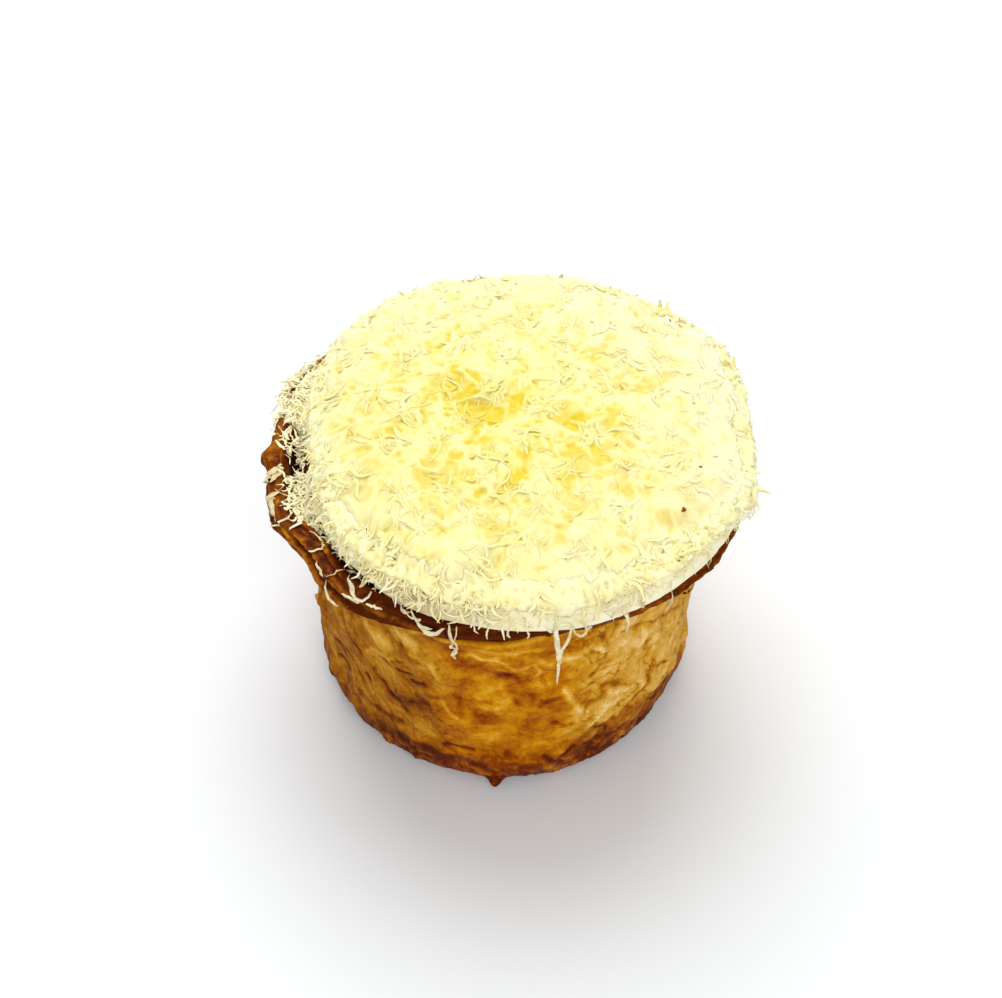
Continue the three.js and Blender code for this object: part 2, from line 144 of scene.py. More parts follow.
# Shreds that hang from the rim of the cream: width, then direction about the topping and height.
HANGING = [
    (
        0.9,
        [(254.2, 60.5), (254.2, 58.0), (253.2, 55.2), (252.7, 54.2)]
        + [(254.1, 53.7), (253.1, 51.8), (254.1, 51.3)],
    ),
    (0.7, [(252.6, 60.5), (252.9, 57.0), (254.4, 54.8), (253.3, 53.0)]),
    (1.0, [(276.0, 62.0), (276.1, 60.5), (276.5, 56.5), (277.0, 53.0), (276.8, 50.5)]),
    (
        0.6,
        [(279.6, 61.6), (279.3, 59.7), (278.7, 57.5), (277.4, 54.9)]
        + [(277.0, 52.1), (276.7, 48.6), (276.7, 45.6)],
    ),
    (0.6, [(279.7, 61.8), (280.2, 59.8), (281.6, 58.4), (282.9, 59.4), (282.5, 61.2), (281.2, 62.0)]),
    (0.5, [(281.5, 62.2), (284.3, 61.5), (285.0, 62.6)]),
    (0.5, [(282.4, 61.6), (283.0, 60.0), (284.2, 60.6)]),
    (
        0.55,
        [(287.4, 62.7), (289.0, 61.2), (290.9, 62.4), (292.2, 62.0)]
        + [(292.8, 60.1), (292.8, 57.3), (292.7, 54.6)],
    ),
    (0.6, [(291.4, 62.2), (292.4, 60.6), (293.0, 58.4), (292.5, 56.4)]),
    (0.5, [(304.7, 63.0), (305.0, 59.8), (304.6, 57.9), (303.4, 57.0)]),
    (0.35, [(261.6, 62.4), (261.0, 60.4), (261.1, 58.4)]),
    (0.45, [(296.4, 62.6), (296.7, 60.9), (297.4, 61.8)]),
    (0.9, [(244.2, 59.0), (246.0, 57.0), (247.9, 56.2), (249.6, 57.0), (251.4, 59.2)]),
    (0.6, [(243.2, 60.6), (244.6, 58.4), (246.4, 57.4), (248.6, 57.8)]),
    (0.5, [(273.4, 62.4), (274.6, 61.0), (275.4, 60.6)]),
    (0.7, [(241.6, 60.2), (242.6, 58.8), (244.6, 58.6), (245.8, 59.4)]),
    (0.4, [(258.0, 62.2), (258.4, 60.4), (259.2, 59.8)]),
    (0.4, [(266.0, 62.0), (265.6, 60.4), (266.3, 59.6)]),
    (0.4, [(269.6, 62.0), (270.2, 60.3), (269.9, 59.4)]),
]
# Shreds fallen on the crown: width, then direction and place from its inside (0) to the crease (1).
FALLEN = [
    (0.5, [(222.6, 0.4), (223.6, 0.48), (226.4, 0.51), (228.9, 0.52), (229.9, 0.54)]),
    (0.5, [(224.6, 0.30), (223.9, 0.38), (222.8, 0.41)]),
    (1.0, [(226.9, 0.31), (230.7, 0.4), (234.0, 0.44)]),
    (0.7, [(234.9, 0.33), (234.5, 0.41), (231.6, 0.43), (228.8, 0.47)]),
    (0.9, [(233.1, 0.2), (234.6, 0.28), (235.9, 0.33)]),
    (0.6, [(235.4, 0.42), (237.8, 0.42), (239.7, 0.42)]),
    (0.6, [(229.4, 0.42), (231.5, 0.44), (234.0, 0.45)]),
    (0.5, [(214.2, 0.3), (215.4, 0.36), (214.3, 0.4)]),
    (2.2, [(188.7, 0.44), (187.6, 0.38), (185.4, 0.32)]),
    (1.6, [(186.9, 0.42), (184.8, 0.36), (183.9, 0.33)]),
    (2.0, [(192.8, 0.36), (194.8, 0.43), (199.9, 0.39)]),
    (1.2, [(194.4, 0.38), (197.4, 0.42), (201.0, 0.43)]),
    (0.8, [(200.6, 0.49), (202.3, 0.4), (201.3, 0.32), (197.5, 0.23), (198.5, 0.19)]),
    (1.0, [(205.6, 0.38), (204.6, 0.32), (201.3, 0.24)]),
    (0.6, [(195.8, 0.3), (197.4, 0.31), (199.1, 0.28)]),
    (0.6, [(192.4, 0.23), (195.0, 0.27), (197.4, 0.23)]),
    (0.6, [(171.6, 0.25), (176.1, 0.21), (180.6, 0.2), (177.0, 0.16)]),
    (0.9, [(175.6, 0.34), (172.4, 0.33), (169.0, 0.31)]),
    (1.8, [(164.2, 0.38), (160.6, 0.38), (157.1, 0.38)]),
    (1.2, [(168.4, 0.35), (165.4, 0.33), (162.4, 0.32)]),
    (1.0, [(159.0, 0.32), (156.4, 0.34), (153.8, 0.34)]),
    (0.5, [(217.7, 0.4), (220.5, 0.41), (222.2, 0.44)]),
    (0.7, [(241.9, 0.33), (244.1, 0.4), (246.4, 0.41)]),
]
# Banks of loose shreds on the crown: direction and its spread, place and its spread, how many.
FALLEN_BANKS = [
    (162, 7, 0.30, 0.05, 140), (172, 4, 0.24, 0.04, 40), (147, 8, 0.27, 0.06, 110),
    (136, 7, 0.24, 0.05, 70), (191, 4, 0.20, 0.04, 70), (200, 6, 0.19, 0.05, 110),
    (211, 6, 0.18, 0.04, 30), (223, 6, 0.18, 0.04, 14), (214, 4, 0.27, 0.03, 4),
    (231, 7, 0.29, 0.04, 8), (158, 10, 0.20, 0.05, 170), (159, 6, 0.38, 0.04, 90),
    (196, 5, 0.28, 0.04, 30),
]
# Flakes that curl away from the wall: width, how they twist, then direction, height and radius.
CURLED_FLAKES = [
    (
        2.2,
        (0.3, 0.5),
        [(320.6, 47.2, 39.8), (321.4, 48.0, 41.8), (322.2, 49.2, 43.6)]
        + [(323.4, 50.6, 44.0), (324.2, 50.2, 42.6)],
    ),
    (1.6, (0.2, -0.6), [(323.4, 49.6, 41.0), (322.2, 50.6, 43.0), (320.6, 50.4, 43.8), (320.0, 49.4, 43.2)]),
    (1.2, (0.0, 0.4), [(199.6, 28.2, 38.2), (198.6, 29.2, 39.6), (197.8, 30.4, 39.9)]),
]

# Yellow spots on the heap, partly its own deeper yellow and partly painted shade in its hollows: where they
# show in the photograph, and radius, in pixels.
YELLOW_SPOTS = [
    (370, 402, 9), (470, 408, 20), (488, 424, 6), (515, 410, 16), (562, 424, 13), (588, 475, 24),
    (622, 474, 15), (605, 462, 7), (615, 430, 10), (515, 483, 9), (525, 326, 12), (660, 377, 8),
    (408, 428, 14), (372, 470, 20), (440, 485, 22), (430, 505, 14), (455, 508, 8), (350, 432, 14),
    (488, 525, 11), (575, 508, 14), (600, 505, 8), (640, 395, 10), (455, 385, 14), (700, 400, 12),
]
# Brown crumbs on the heap: place about its middle, and size.
CRUMBS = [(28.5, -24.6, 0.55), (32.4, -15.0, 0.4), (-40.2, 18.4, 0.6), (-16.0, 31.0, 0.3), (9.0, -31.0, 0.3)]

SEED = 5
# How much a shred's shading keeps of its own form: 0 is all the form of the heap below it.
SHRED_ROUNDNESS = 0.2
SHRED_TAPER = 0.7
# A marked flake wider than this lies flat.
FLAKE_WIDTH = 1.5
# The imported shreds: spacing and half-width of their grid, how many on top, and how far each
# stands out as a share of its width.
FELT_STEP = 0.3
FELT_HALF = 48
FELT_SHREDS = 13000
FELT_BODY = 0.34

# How many points the meshes have all around.
CRUST_COLUMNS, CREAM_COLUMNS, HEAP_COLUMNS, SKIRT_COLUMNS = 760, 360, 800, 900

# The photograph's camera: how far up it looks from, its distance in mm and focal length in
# pixels, the picture's size, and the point of the axis that shows at AIM_SHOWS_AT.
ELEVATION, DISTANCE, FOCAL = math.radians(47), 420.0, 2038.5
PICTURE_WIDTH, PICTURE_HEIGHT = 1002, 998
AIM, AIM_SHOWS_AT = np.array([0, 0, 28.0]), (505, 556)
# Heights and the scale at which the spots on the heap are read from the photograph.
SPOTS_Z, SPOTS_PIXELS_PER_MM = 69.0, 4.9

# Lights: name, place and size in metres, watts.
LIGHTS = [("key", (-0.06, 0.5, 1.0), 0.9, 8.5), ("front_fill", (0.08, -0.95, 0.85), 0.8, 6)]
LIT_PLACE = (0, 0, 0.03)
SKY_STRENGTH = 0.55
FLOOR_HALF = 3.0


# ---- Fixed noise --------------------------------------------------------------------------------


def lattice(x, y, z, seed):
    """A value between -1 and 1 for each point of a whole-number lattice."""
    h = ((x * 73856093) ^ (y * 19349663) ^ (z * 83492791) ^ (seed * 40503)) & 0xFFFFFFFF
    h = ((h ^ (h >> 13)) * 1274126177) & 0xFFFFFFFF
    h = ((h ^ (h >> 15)) * 668265263) & 0xFFFFFFFF
    return (h ^ (h >> 16)) / 2**31 - 1


def noise(x, y, z, seed):
    """Smooth noise between -1 and 1 with bumps about one unit wide."""
    x, y, z = np.broadcast_arrays(x, y, z)
    corner = [np.floor(t).astype(np.int64) for t in (x, y, z)]
    blend = [(t - c) ** 2 * (3 - 2 * (t - c)) for t, c in zip((x, y, z), corner)]
    total = np.zeros(x.shape)
    for k in range(8):
        step = (k & 1, (k >> 1) & 1, k >> 2)
        weight = np.ones(x.shape)
        for b, s in zip(blend, step):
            weight = weight * (b if s else 1 - b)
        total += weight * lattice(*(c + s for c, s in zip(corner, step)), seed)
    return total


def rough(x, y, z, seed, octaves=4):
    """Noise with finer and finer detail, about between -1 and 1."""
    total, size = 0.0, 1.0
    for octave in range(octaves):
        # Each octave is turned, so that the lattice doesn't show.
        c, s = math.cos(octave + 0.5), math.sin(octave + 0.5)
        u, v, w = c * x - s * y, s * x + c * y, z
        v, w = c * v - s * w, s * v + c * w
        total = total + size * noise(u * 2**octave, v * 2**octave, w * 2**octave, seed + octave)
        size *= 0.5
    return total / 1.6


def ridged(x, y, z, seed, sharp=1.0):
    """1 along winding lines, falling to 0 between them."""
    return np.clip(1 - np.abs(rough(x, y, z, seed, 3)) * 2.2, 0, 1) ** sharp


# ---- Forms of the solids ------------------------------------------------------------------------


def smooth(x, low, high):
    t = np.clip((x - low) / (high - low), 0, 1)
    return t * t * (3 - 2 * t)


def lobe(degrees, at, width):
    away = (degrees - at + 180) % 360 - 180
    return np.exp(-((away / width) ** 2))


def reach_of(lobes, degrees):
    return sum(reach * lobe(degrees, at, width) for at, width, reach in lobes)


def polar(degrees, radius):
    return radius * np.cos(np.radians(degrees)), radius * np.sin(np.radians(degrees))


def full_turn(count):
    """So many directions all around."""
    return np.linspace(0, 360, count, endpoint=False)[None, :]


def bow(a, b, c, count):
    """Points of a profile along a curve from a to c with its corner at b."""
    t = np.linspace(0, 1, count)[:, None]
    return (1 - t) ** 2 * np.array(a) + 2 * t * (1 - t) * np.array(b) + t**2 * np.array(c)


FLARE = bow((WALL_RADIUS, WALL_END), (WALL_RADIUS + 1.5, CROWN_EDGE_Z - 3), (CROWN_RADIUS, CROWN_EDGE_Z), 200)
ROUNDING = bow((FOOT_RADIUS, 0), (WALL_RADIUS - 1, 0), (WALL_RADIUS, WALL_START), 200)
SIDE = np.vstack([ROUNDING, FLARE])


def side_radius(height):
    """Radius of the plain wall or flare at a height."""
    return np.interp(height, SIDE[:, 1], SIDE[:, 0])


def crease_height(degrees):
    """Height of the upper edge of the outermost sheet."""
    return CREASE_Z + CREASE_RISE * (1 - lobe(degrees, 262, 42))


def wall_relief(x, y, z):
    blisters = 0.8 * noise(x / 9, y / 9, z / 7, 11)
    wrinkle_fold = 1 - np.abs(noise((x + 0.3 * z) / 5, y / 5, z / 14, 23))
    crack_fold = 1 - np.abs(noise(x / 8, y / 8, z / 6, 29))
    wrinkles = smooth(-x, 0, 20) * (wrinkle_fold**3 - 0.4)
    cracks = -smooth(x, 5, 22) * crack_fold**6
    front = smooth(-y, 10, 25)
    dent = np.exp(-(((x - 1) / 9) ** 2) - ((z - 34 + 0.25 * x) / 5) ** 2)
    return blisters + wrinkles + 0.8 * cracks - 1.2 * front * dent


def layer_drift(degrees):
    x, y = polar(degrees, 3)
    return 1.6 * noise(x, y, 0 * x, 31)


def layer_relief(distance, degrees):
    return 0.55 * np.sin(2 * np.pi * (distance + layer_drift(degrees)) / LAYER_PITCH)


def crease_relief(height, degrees):
    crease = crease_height(degrees)
    above = smooth(height, crease - 0.6, crease + 0.6)
    return -0.8 * above * (1 - smooth(height, crease + 1.5, crease + 5))


def groove_relief(radius, degrees):
    across = (radius - GROOVE_RADIUS) / GROOVE_WIDTH
    opened = np.maximum(np.maximum(lobe(degrees, 243, 22), lobe(degrees, 175, 20)), 0.4)
    return -GROOVE_DEPTH * opened * np.exp(-(across**2))


def crown_spread(radius, height, degrees):
    in_crown = smooth(height, WALL_END, CROWN_EDGE_Z)
    outwards = smooth(radius, WALL_RADIUS - 8, LIP_RADIUS)
    return reach_of(CROWN_LOBES, degrees) * in_crown * outwards


def heap_radius(degrees):
    return HEAP_RADIUS + reach_of(HEAP_LOBES, degrees)


def heap_relief(x, y, z):
    return 1.1 * noise(x / 7.5, y / 7.5, z / 7.5, 51) + 0.8 * noise(x / 3.4, y / 3.4, z / 3.4, 52)


def heap_height(share):
    return HEAP_TOP - 1.2 * share**2 - (HEAP_TOP - 1.2 - HEAP_EDGE_Z - 2) * share**9


def heap_surface(x, y):
    """Height of the heap above a point of the topping."""
    dx, dy = x - TOPPING_CENTRE[0], y - TOPPING_CENTRE[1]
    share = np.hypot(dx, dy) / heap_radius(np.degrees(np.arctan2(dy, dx)))
    plain = heap_height(np.minimum(share, 1))
    upper = smooth(plain, HEAP_EDGE_Z, HEAP_EDGE_Z + 3)
    return plain + upper * heap_relief(x, y, plain)


def cream_wave(degrees):
    x, y = polar(degrees, 4)
    return reach_of(CREAM_LOBES, degrees) + 0.7 * noise(x, y, 0 * x, 41)


# ---- Places in the photograph ---------------------------------------------------------------------


def sight(u, v):
    """Direction from the camera to a place in the photograph, 1 long along the camera's axis."""
    forward = np.array([0, math.cos(ELEVATION), -math.sin(ELEVATION)])
    right = np.array([1.0, 0, 0])
    up = np.cross(right, forward)
    return forward + (u - PICTURE_WIDTH / 2) / FOCAL * right - (v - PICTURE_HEIGHT / 2) / FOCAL * up


CAMERA_PLACE = AIM - sight(*AIM_SHOWS_AT) * DISTANCE


def seen_on_wall(u, v):
    """Direction and height, to a tenth, of the wall's point that shows at a place in the photograph."""
    ahead = sight(u, v) / np.linalg.norm(sight(u, v))
    points = CAMERA_PLACE + np.arange(300, 520, 0.05)[:, None] * ahead
    x, y, z = points.T
    narrowing = ((WALL_START - np.clip(z, 0, WALL_START)) / WALL_START) ** 2
    radius = WALL_RADIUS - (WALL_RADIUS - FOOT_RADIUS) * narrowing + 0.45 * np.maximum(z - WALL_END, 0)
    first = np.argmax((np.hypot(x, y) < radius) & (z < PASTRY_TOP - 2))
    degrees = math.degrees(math.atan2(y[first], x[first])) % 360
    return round(degrees, 1), round(float(z[first]), 1)


def seen_on_heap(u, v):
    """Place, to a tenth, of a point of the heap that shows at a place in the photograph."""
    ahead = sight(u, v)
    x, y, _ = np.round(CAMERA_PLACE + (SPOTS_Z - CAMERA_PLACE[2]) / ahead[2] * ahead, 1)
    return x, y


# ---- Meshes -------------------------------------------------------------------------------------


def ring_faces(upper, lower):
    """Quads between two rings of vertex numbers, or triangles where one is a single point."""
    if len(upper) == 1:
        return np.stack([np.repeat(upper, len(lower)), lower, np.roll(lower, -1)], 1)
    if len(lower) == 1:
        return np.stack([upper, np.repeat(lower, len(upper)), np.roll(upper, -1)], 1)
    return np.stack([upper, lower, np.roll(lower, -1), np.roll(upper, -1)], 1)


def mesh_object(name, points, faces, values=None):
    """An object from points in mm, lists of faces with as many corners each, and named values of
    the points."""
    mesh = bpy.data.meshes.new(name)
    mesh.vertices.add(len(points))
    mesh.vertices.foreach_set("co", (np.asarray(points) * MM).astype(np.float32).ravel())
    totals = np.concatenate([np.full(len(f), f.shape[1]) for f in faces])
    corners = np.concatenate([f.ravel() for f in faces])
    mesh.loops.add(len(corners))
    mesh.loops.foreach_set("vertex_index", corners.astype(np.int32))
    mesh.polygons.add(len(totals))
    starts = np.concatenate([[0], np.cumsum(totals)[:-1]])
    mesh.polygons.foreach_set("loop_start", starts.astype(np.int32))
    mesh.polygons.foreach_set("loop_total", totals.astype(np.int32))
    mesh.polygons.foreach_set("use_smooth", np.ones(len(totals), dtype=bool))
    mesh.update(calc_edges=True)
    mesh.validate()
    for key, value in (values or {}).items():
        layer = mesh.attributes.new(key, "FLOAT", "POINT")
        layer.data.foreach_set("value", np.asarray(value, dtype=np.float32).ravel())
    made = bpy.data.objects.new(name, mesh)
    bpy.context.scene.collection.objects.link(made)
    return made


def grid_object(name, x, y, z, values, top_point=None, foot_point=None):
    """A body of rings: x, y and z have a row for each ring, from the top outwards and down."""
    rows, count = x.shape
    points = np.stack([x, y, z], 2).reshape(-1, 3)
    numbers = np.arange(rows * count).reshape(rows, count)
    faces = [ring_faces(numbers[i], numbers[i + 1]) for i in range(rows - 1)]
    flat = {key: value.reshape(-1) for key, value in values.items()}
    for point, ring, above in ((top_point, numbers[0], True), (foot_point, numbers[-1], False)):
        if point is None:
            continue
        points = np.vstack([points, point])
        alone = np.array([len(points) - 1])
        faces.append(ring_faces(alone, ring) if above else ring_faces(ring, alone))
        flat = {key: np.append(value, value[ring[0]]) for key, value in flat.items()}
    quads = np.concatenate([f for f in faces if f.shape[1] == 4])
    triangles = [f for f in faces if f.shape[1] == 3]
    return mesh_object(name, points, [quads, *triangles], flat)


def unit(v):
    return v / (np.linalg.norm(v, axis=-1, keepdims=True) + 1e-12)


def strands_mesh(name, paths, up, width, thickness, twist, values):
    """Flat shreds along paths of shape (shreds, points, 3). The section is a flat lozenge that
    turns by `twist` and narrows towards both ends."""
    count, steps, _ = paths.shape
    tangent = unit(np.gradient(paths, axis=1))
    side = unit(np.cross(up[:, None, :], tangent))
    normal = np.cross(tangent, side)
    angle = twist[:, :1] + twist[:, 1:] * np.linspace(-1, 1, steps)
    turned = np.cos(angle)[..., None] * side + np.sin(angle)[..., None] * normal
    across = np.cross(tangent, turned)
    taper = 1 - SHRED_TAPER * np.abs(np.linspace(-1, 1, steps)) ** 3
    half_w = 0.5 * width[:, None, None] * taper[None, :, None]
    half_t = 0.5 * thickness[:, None, None] * taper[None, :, None]
    ring = [paths + turned * half_w, paths + across * half_t]
    ring += [paths - turned * half_w, paths - across * half_t]
    points = np.stack(ring, 2).reshape(-1, 3)
    first = 4 * steps * np.arange(count)[:, None]
    corner = np.arange(4)
    level = first[..., None] + 4 * np.arange(steps - 1)[:, None]
    a, b = level + corner, level + (corner + 1) % 4
    sides = np.stack([a, b, b + 4, a + 4], -1).reshape(-1, 4)
    starts, ends = first + corner[::-1], first + 4 * (steps - 1) + corner
    spread = {key: np.repeat(value, steps * 4) for key, value in values.items()}
    made = mesh_object(name, points, [np.concatenate([sides, starts, ends])], spread)
    # Light passes through thin shreds, so they are shaded much like the heap they lie on, a
    # little turned to the sky.
    own = np.stack([turned, across, -turned, -across], 2)
    above = unit(up + (0, 0, 0.8))[:, None, None, :]
    share = (1 - SHRED_ROUNDNESS) * smooth((own * above).sum(-1, keepdims=True), -0.6, 0.2)
    lit = unit((1 - share) * own + share * above)
    made.data.normals_split_custom_set_from_vertices(lit.reshape(-1, 3))
    return made


# ---- Materials ----------------------------------------------------------------------------------


def srgb(r, g, b):
    """A colour as seen on a screen, 0 to 255, in linear light."""
    return tuple((c / 255 / 12.92) if c <= 10 else ((c / 255 + 0.055) / 1.055) ** 2.4 for c in (r, g, b))


# Near black for painted shade where the crust lies in gaps, pits and the groove, and for the real dark of its
# cracks and seams.
SHADE_AND_CRACK_BLACK = srgb(34, 12, 4)
# The darker cream is painted shade on the front left, where thin hairs of cheese also hang over it.
CREAM, LIGHT_CREAM, CREAM_SHADED_UNDER_HAIRS = srgb(250, 240, 196), srgb(252, 245, 212), srgb(196, 172, 122)
CHEESE, LIGHT_CHEESE = srgb(233, 217, 98), srgb(240, 233, 164)
# The deeper yellow is painted shade in hollows as well as the cheese's own patchy yellow.
YELLOW_TONE_AND_HOLLOW_SHADE, PALE_CHEESE = srgb(225, 203, 58), srgb(250, 242, 206)
THIN_CHEESE, LIGHT_THIN_CHEESE, SHEER_CHEESE = srgb(216, 196, 146), srgb(240, 231, 194), srgb(184, 148, 98)
FLOOR_GREY = srgb(230, 233, 235)
# Colours of the crust where it is glazed and where it isn't, by how far it is baked.
BAKED = (0.0, 0.2, 0.4, 0.58, 0.78, 1.0)
AMBER = [(242, 204, 128), (226, 172, 72), (208, 144, 8), (182, 108, 1), (144, 66, 1), (92, 32, 1)]
MATTE = [(238, 206, 140), (216, 168, 72), (194, 140, 38), (164, 100, 16), (124, 66, 16), (76, 32, 10)]


class Material:
    """A Principled material and short calls for the nodes that feed it."""

    def __init__(self, name, **sockets):
        self.made = bpy.data.materials.new(name)
        self.made.use_nodes = True
        self.tree = self.made.node_tree
        self.shader = self.tree.nodes["Principled BSDF"]
        self.place = self.tree.nodes.new("ShaderNodeTexCoord").outputs["Object"]
        for key, value in sockets.items():
            self.feed(key.replace("_", " "), value)

    def feed(self, socket, value):
        self.plug(self.shader.inputs[socket], value)

    def plug(self, socket, value):
        if isinstance(value, bpy.types.NodeSocket):
            self.tree.links.new(value, socket)
        elif isinstance(value, tuple) and len(value) == 3 and socket.type == "RGBA":
            socket.default_value = (*value, 1)
        else:
            socket.default_value = value

    def attribute(self, name):
        node = self.tree.nodes.new("ShaderNodeAttribute")
        node.attribute_name = name
        return node.outputs["Fac"]

    def noise(self, size, detail=3, stretch=(1, 1, 1), roughness=0.5, distortion=0.0):
        """Noise with features about `size` mm wide."""
        mapping = self.tree.nodes.new("ShaderNodeMapping")
        self.plug(mapping.inputs["Vector"], self.place)
        mapping.inputs["Scale"].default_value = tuple(1 / (size * MM * s) for s in stretch)
        node = self.tree.nodes.new("ShaderNodeTexNoise")
        self.plug(node.inputs["Vector"], mapping.outputs["Vector"])
        node.inputs["Scale"].default_value = 1
        node.inputs["Detail"].default_value = detail
        node.inputs["Roughness"].default_value = roughness
        node.inputs["Distortion"].default_value = distortion
        return node.outputs["Fac"]

    def math(self, operation, a, b=0.0, clamp=False):
        node = self.tree.nodes.new("ShaderNodeMath")
        node.operation = operation
        node.use_clamp = clamp
        self.plug(node.inputs[0], a)
        self.plug(node.inputs[1], b)
        return node.outputs[0]

    def range(self, value, low, high, to_low=0.0, to_high=1.0):
        node = self.tree.nodes.new("ShaderNodeMapRange")
        keys = ("Value", "From Min", "From Max", "To Min", "To Max")
        for key, given in zip(keys, (value, low, high, to_low, to_high)):
            self.plug(node.inputs[key], given)
        return node.outputs["Result"]

    def mix(self, share, a, b, blend="MIX"):
        node = self.tree.nodes.new("ShaderNodeMix")
        node.data_type = "RGBA"
        node.blend_type = blend
        node.clamp_factor = True
        self.plug(node.inputs[0], share)
        self.plug(node.inputs[6], a)
        self.plug(node.inputs[7], b)
        return node.outputs[2]

    def ramp(self, value, stops):
        """A colour for each value, through stops of (value, colour)."""
        node = self.tree.nodes.new("ShaderNodeValToRGB")
        self.plug(node.inputs["Fac"], value)
        elements = node.color_ramp.elements
        while len(elements) < len(stops):
            elements.new(0.5)
        for element, stop in zip(elements, stops):
            element.position = stop[0]
        for element, stop in zip(elements, stops):
            element.color = (*stop[1], 1)
        return node.outputs["Color"]

    def bump(self, height, distance, strength=1.0, under=None):
        """Bumps up to `distance` mm high, on top of the ones `under` them."""
        node = self.tree.nodes.new("ShaderNodeBump")
        node.inputs["Strength"].default_value = strength
        node.inputs["Distance"].default_value = distance * MM
        self.plug(node.inputs["Height"], height)
        if under is not None:
            self.plug(node.inputs["Normal"], under)
        return node.outputs["Normal"]


def pastry_material():
    """Baked dough. The points give how far the crust is baked (0 pale, 1 dark brown), how far it is painted
    towards near black, as painted shade where it lies in gaps, pits and the groove along with the real dark
    of its cracks and seams, and how much glaze it has."""
    m = Material("baked_dough", IOR=1.45)
    bake, gap, glaze = (m.attribute(n) for n in ("bake", "gap", "glaze"))
    coarse = m.noise(5, 4, distortion=0.8)
    fine = m.noise(1.2, 5, roughness=0.6)
    grain = m.noise(0.35, 3)
    mottle = m.math("ADD", m.range(coarse, 0.3, 0.7, -0.1, 0.1), m.range(fine, 0.3, 0.7, -0.08, 0.08))
    mottle = m.math("ADD", mottle, m.range(grain, 0.25, 0.75, -0.04, 0.04))
    fleck = m.noise(2.2, 5, roughness=0.65, distortion=1.2)
    mottle = m.math("ADD", mottle, m.range(fleck, 0.6, 0.66, 0.0, 0.16))
    mottle = m.math("SUBTRACT", mottle, m.range(fleck, 0.4, 0.34, 0.0, 0.1))
    baked = m.math("ADD", bake, mottle, clamp=True)
    amber, matte = (m.ramp(baked, [(at, srgb(*c)) for at, c in zip(BAKED, row)]) for row in (AMBER, MATTE))
    crust = m.mix(m.range(glaze, 0.15, 0.75), matte, amber)
    # Painted shade: the crust goes towards near black where it lies low in gaps, pits and the groove, along
    # with the real dark of its cracks and seams.
    shade_and_crack_share = m.math("ADD", gap, m.range(grain, 0.25, 0.75, -0.1, 0.1), clamp=True)
    m.feed("Base Color", m.mix(shade_and_crack_share, crust, SHADE_AND_CRACK_BLACK))
    gloss = m.math("SUBTRACT", 0.6, m.math("MULTIPLY", glaze, 0.3))
    m.feed("Roughness", m.math("ADD", gloss, m.range(fine, 0.3, 0.7, -0.06, 0.08)))
    m.feed("Specular IOR Level", 0.02)
    m.feed("Coat Weight", m.math("MULTIPLY", glaze, 0.04))
    m.feed("Coat Roughness", 0.15)
    under = m.bump(fine, 0.2, 0.5)
    m.feed("Normal", m.bump(grain, 0.05, 0.5, under))
    return m.made


def cream_material():
    m = Material("cream", Roughness=0.5)
    soft = m.noise(3, 3)
    colour = m.mix(m.range(soft, 0.3, 0.7), CREAM, LIGHT_CREAM)
    # Painted shade greys and browns the cream's front left, under its hairs.
    m.feed("Base Color", m.mix(m.attribute("shade_under_hairs"), colour, CREAM_SHADED_UNDER_HAIRS))
    m.feed("Subsurface Weight", 0.3)
    m.feed("Subsurface Radius", (1.0, 0.8, 0.5))
    m.feed("Subsurface Scale", 1.2 * MM)
    m.feed("Normal", m.bump(m.noise(0.8, 3), 0.15, 0.4))
    return m.made


def cheese_material(name, packed):
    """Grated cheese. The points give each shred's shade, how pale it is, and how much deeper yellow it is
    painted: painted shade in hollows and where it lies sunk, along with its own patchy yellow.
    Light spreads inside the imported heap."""
    m = Material(name, Roughness=0.65)
    shade, pale, tone_and_hollow_shade = (m.attribute(n) for n in ("shade", "pale", "tone_and_hollow_shade"))
    fleck = m.noise(0.6, 2)
    mixed = m.math("ADD", shade, m.range(fleck, 0.3, 0.7, -0.2, 0.2), clamp=True)
    colour = m.mix(mixed, CHEESE, LIGHT_CHEESE)
    # Painted shade: hollows and sunk places go deeper yellow, along with the cheese's own patchy yellow.
    colour = m.mix(tone_and_hollow_shade, colour, YELLOW_TONE_AND_HOLLOW_SHADE)
    colour = m.mix(pale, colour, PALE_CHEESE)
    m.feed("Base Color", colour)
    m.feed("Specular IOR Level", 0.2)
    if packed:
        m.feed("Subsurface Weight", 1.0)
        m.feed("Subsurface Radius", (1.0, 0.9, 0.6))
        m.feed("Subsurface Scale", 0.8 * MM)
    m.feed("Normal", m.bump(m.noise(0.3, 2), 0.04, 0.3))
    return m.made


def thin_cheese_material(name):
    """Lone shreds, thin enough for the crust below to show through a little."""
    m = Material(name, Roughness=0.5)
    shade = m.attribute("shade")
    sheer = m.noise(1.1, 3)
    colour = m.mix(shade, THIN_CHEESE, LIGHT_THIN_CHEESE)
    m.feed("Base Color", m.mix(m.range(sheer, 0.45, 0.7, 0, 0.6), colour, SHEER_CHEESE))
    m.feed("Specular IOR Level", 0.3)
    m.feed("Normal", m.bump(m.noise(0.3, 2), 0.04, 0.3))
    return m.made


# ---- Pastry -------------------------------------------------------------------------------------

AROUND = full_turn(CRUST_COLUMNS)


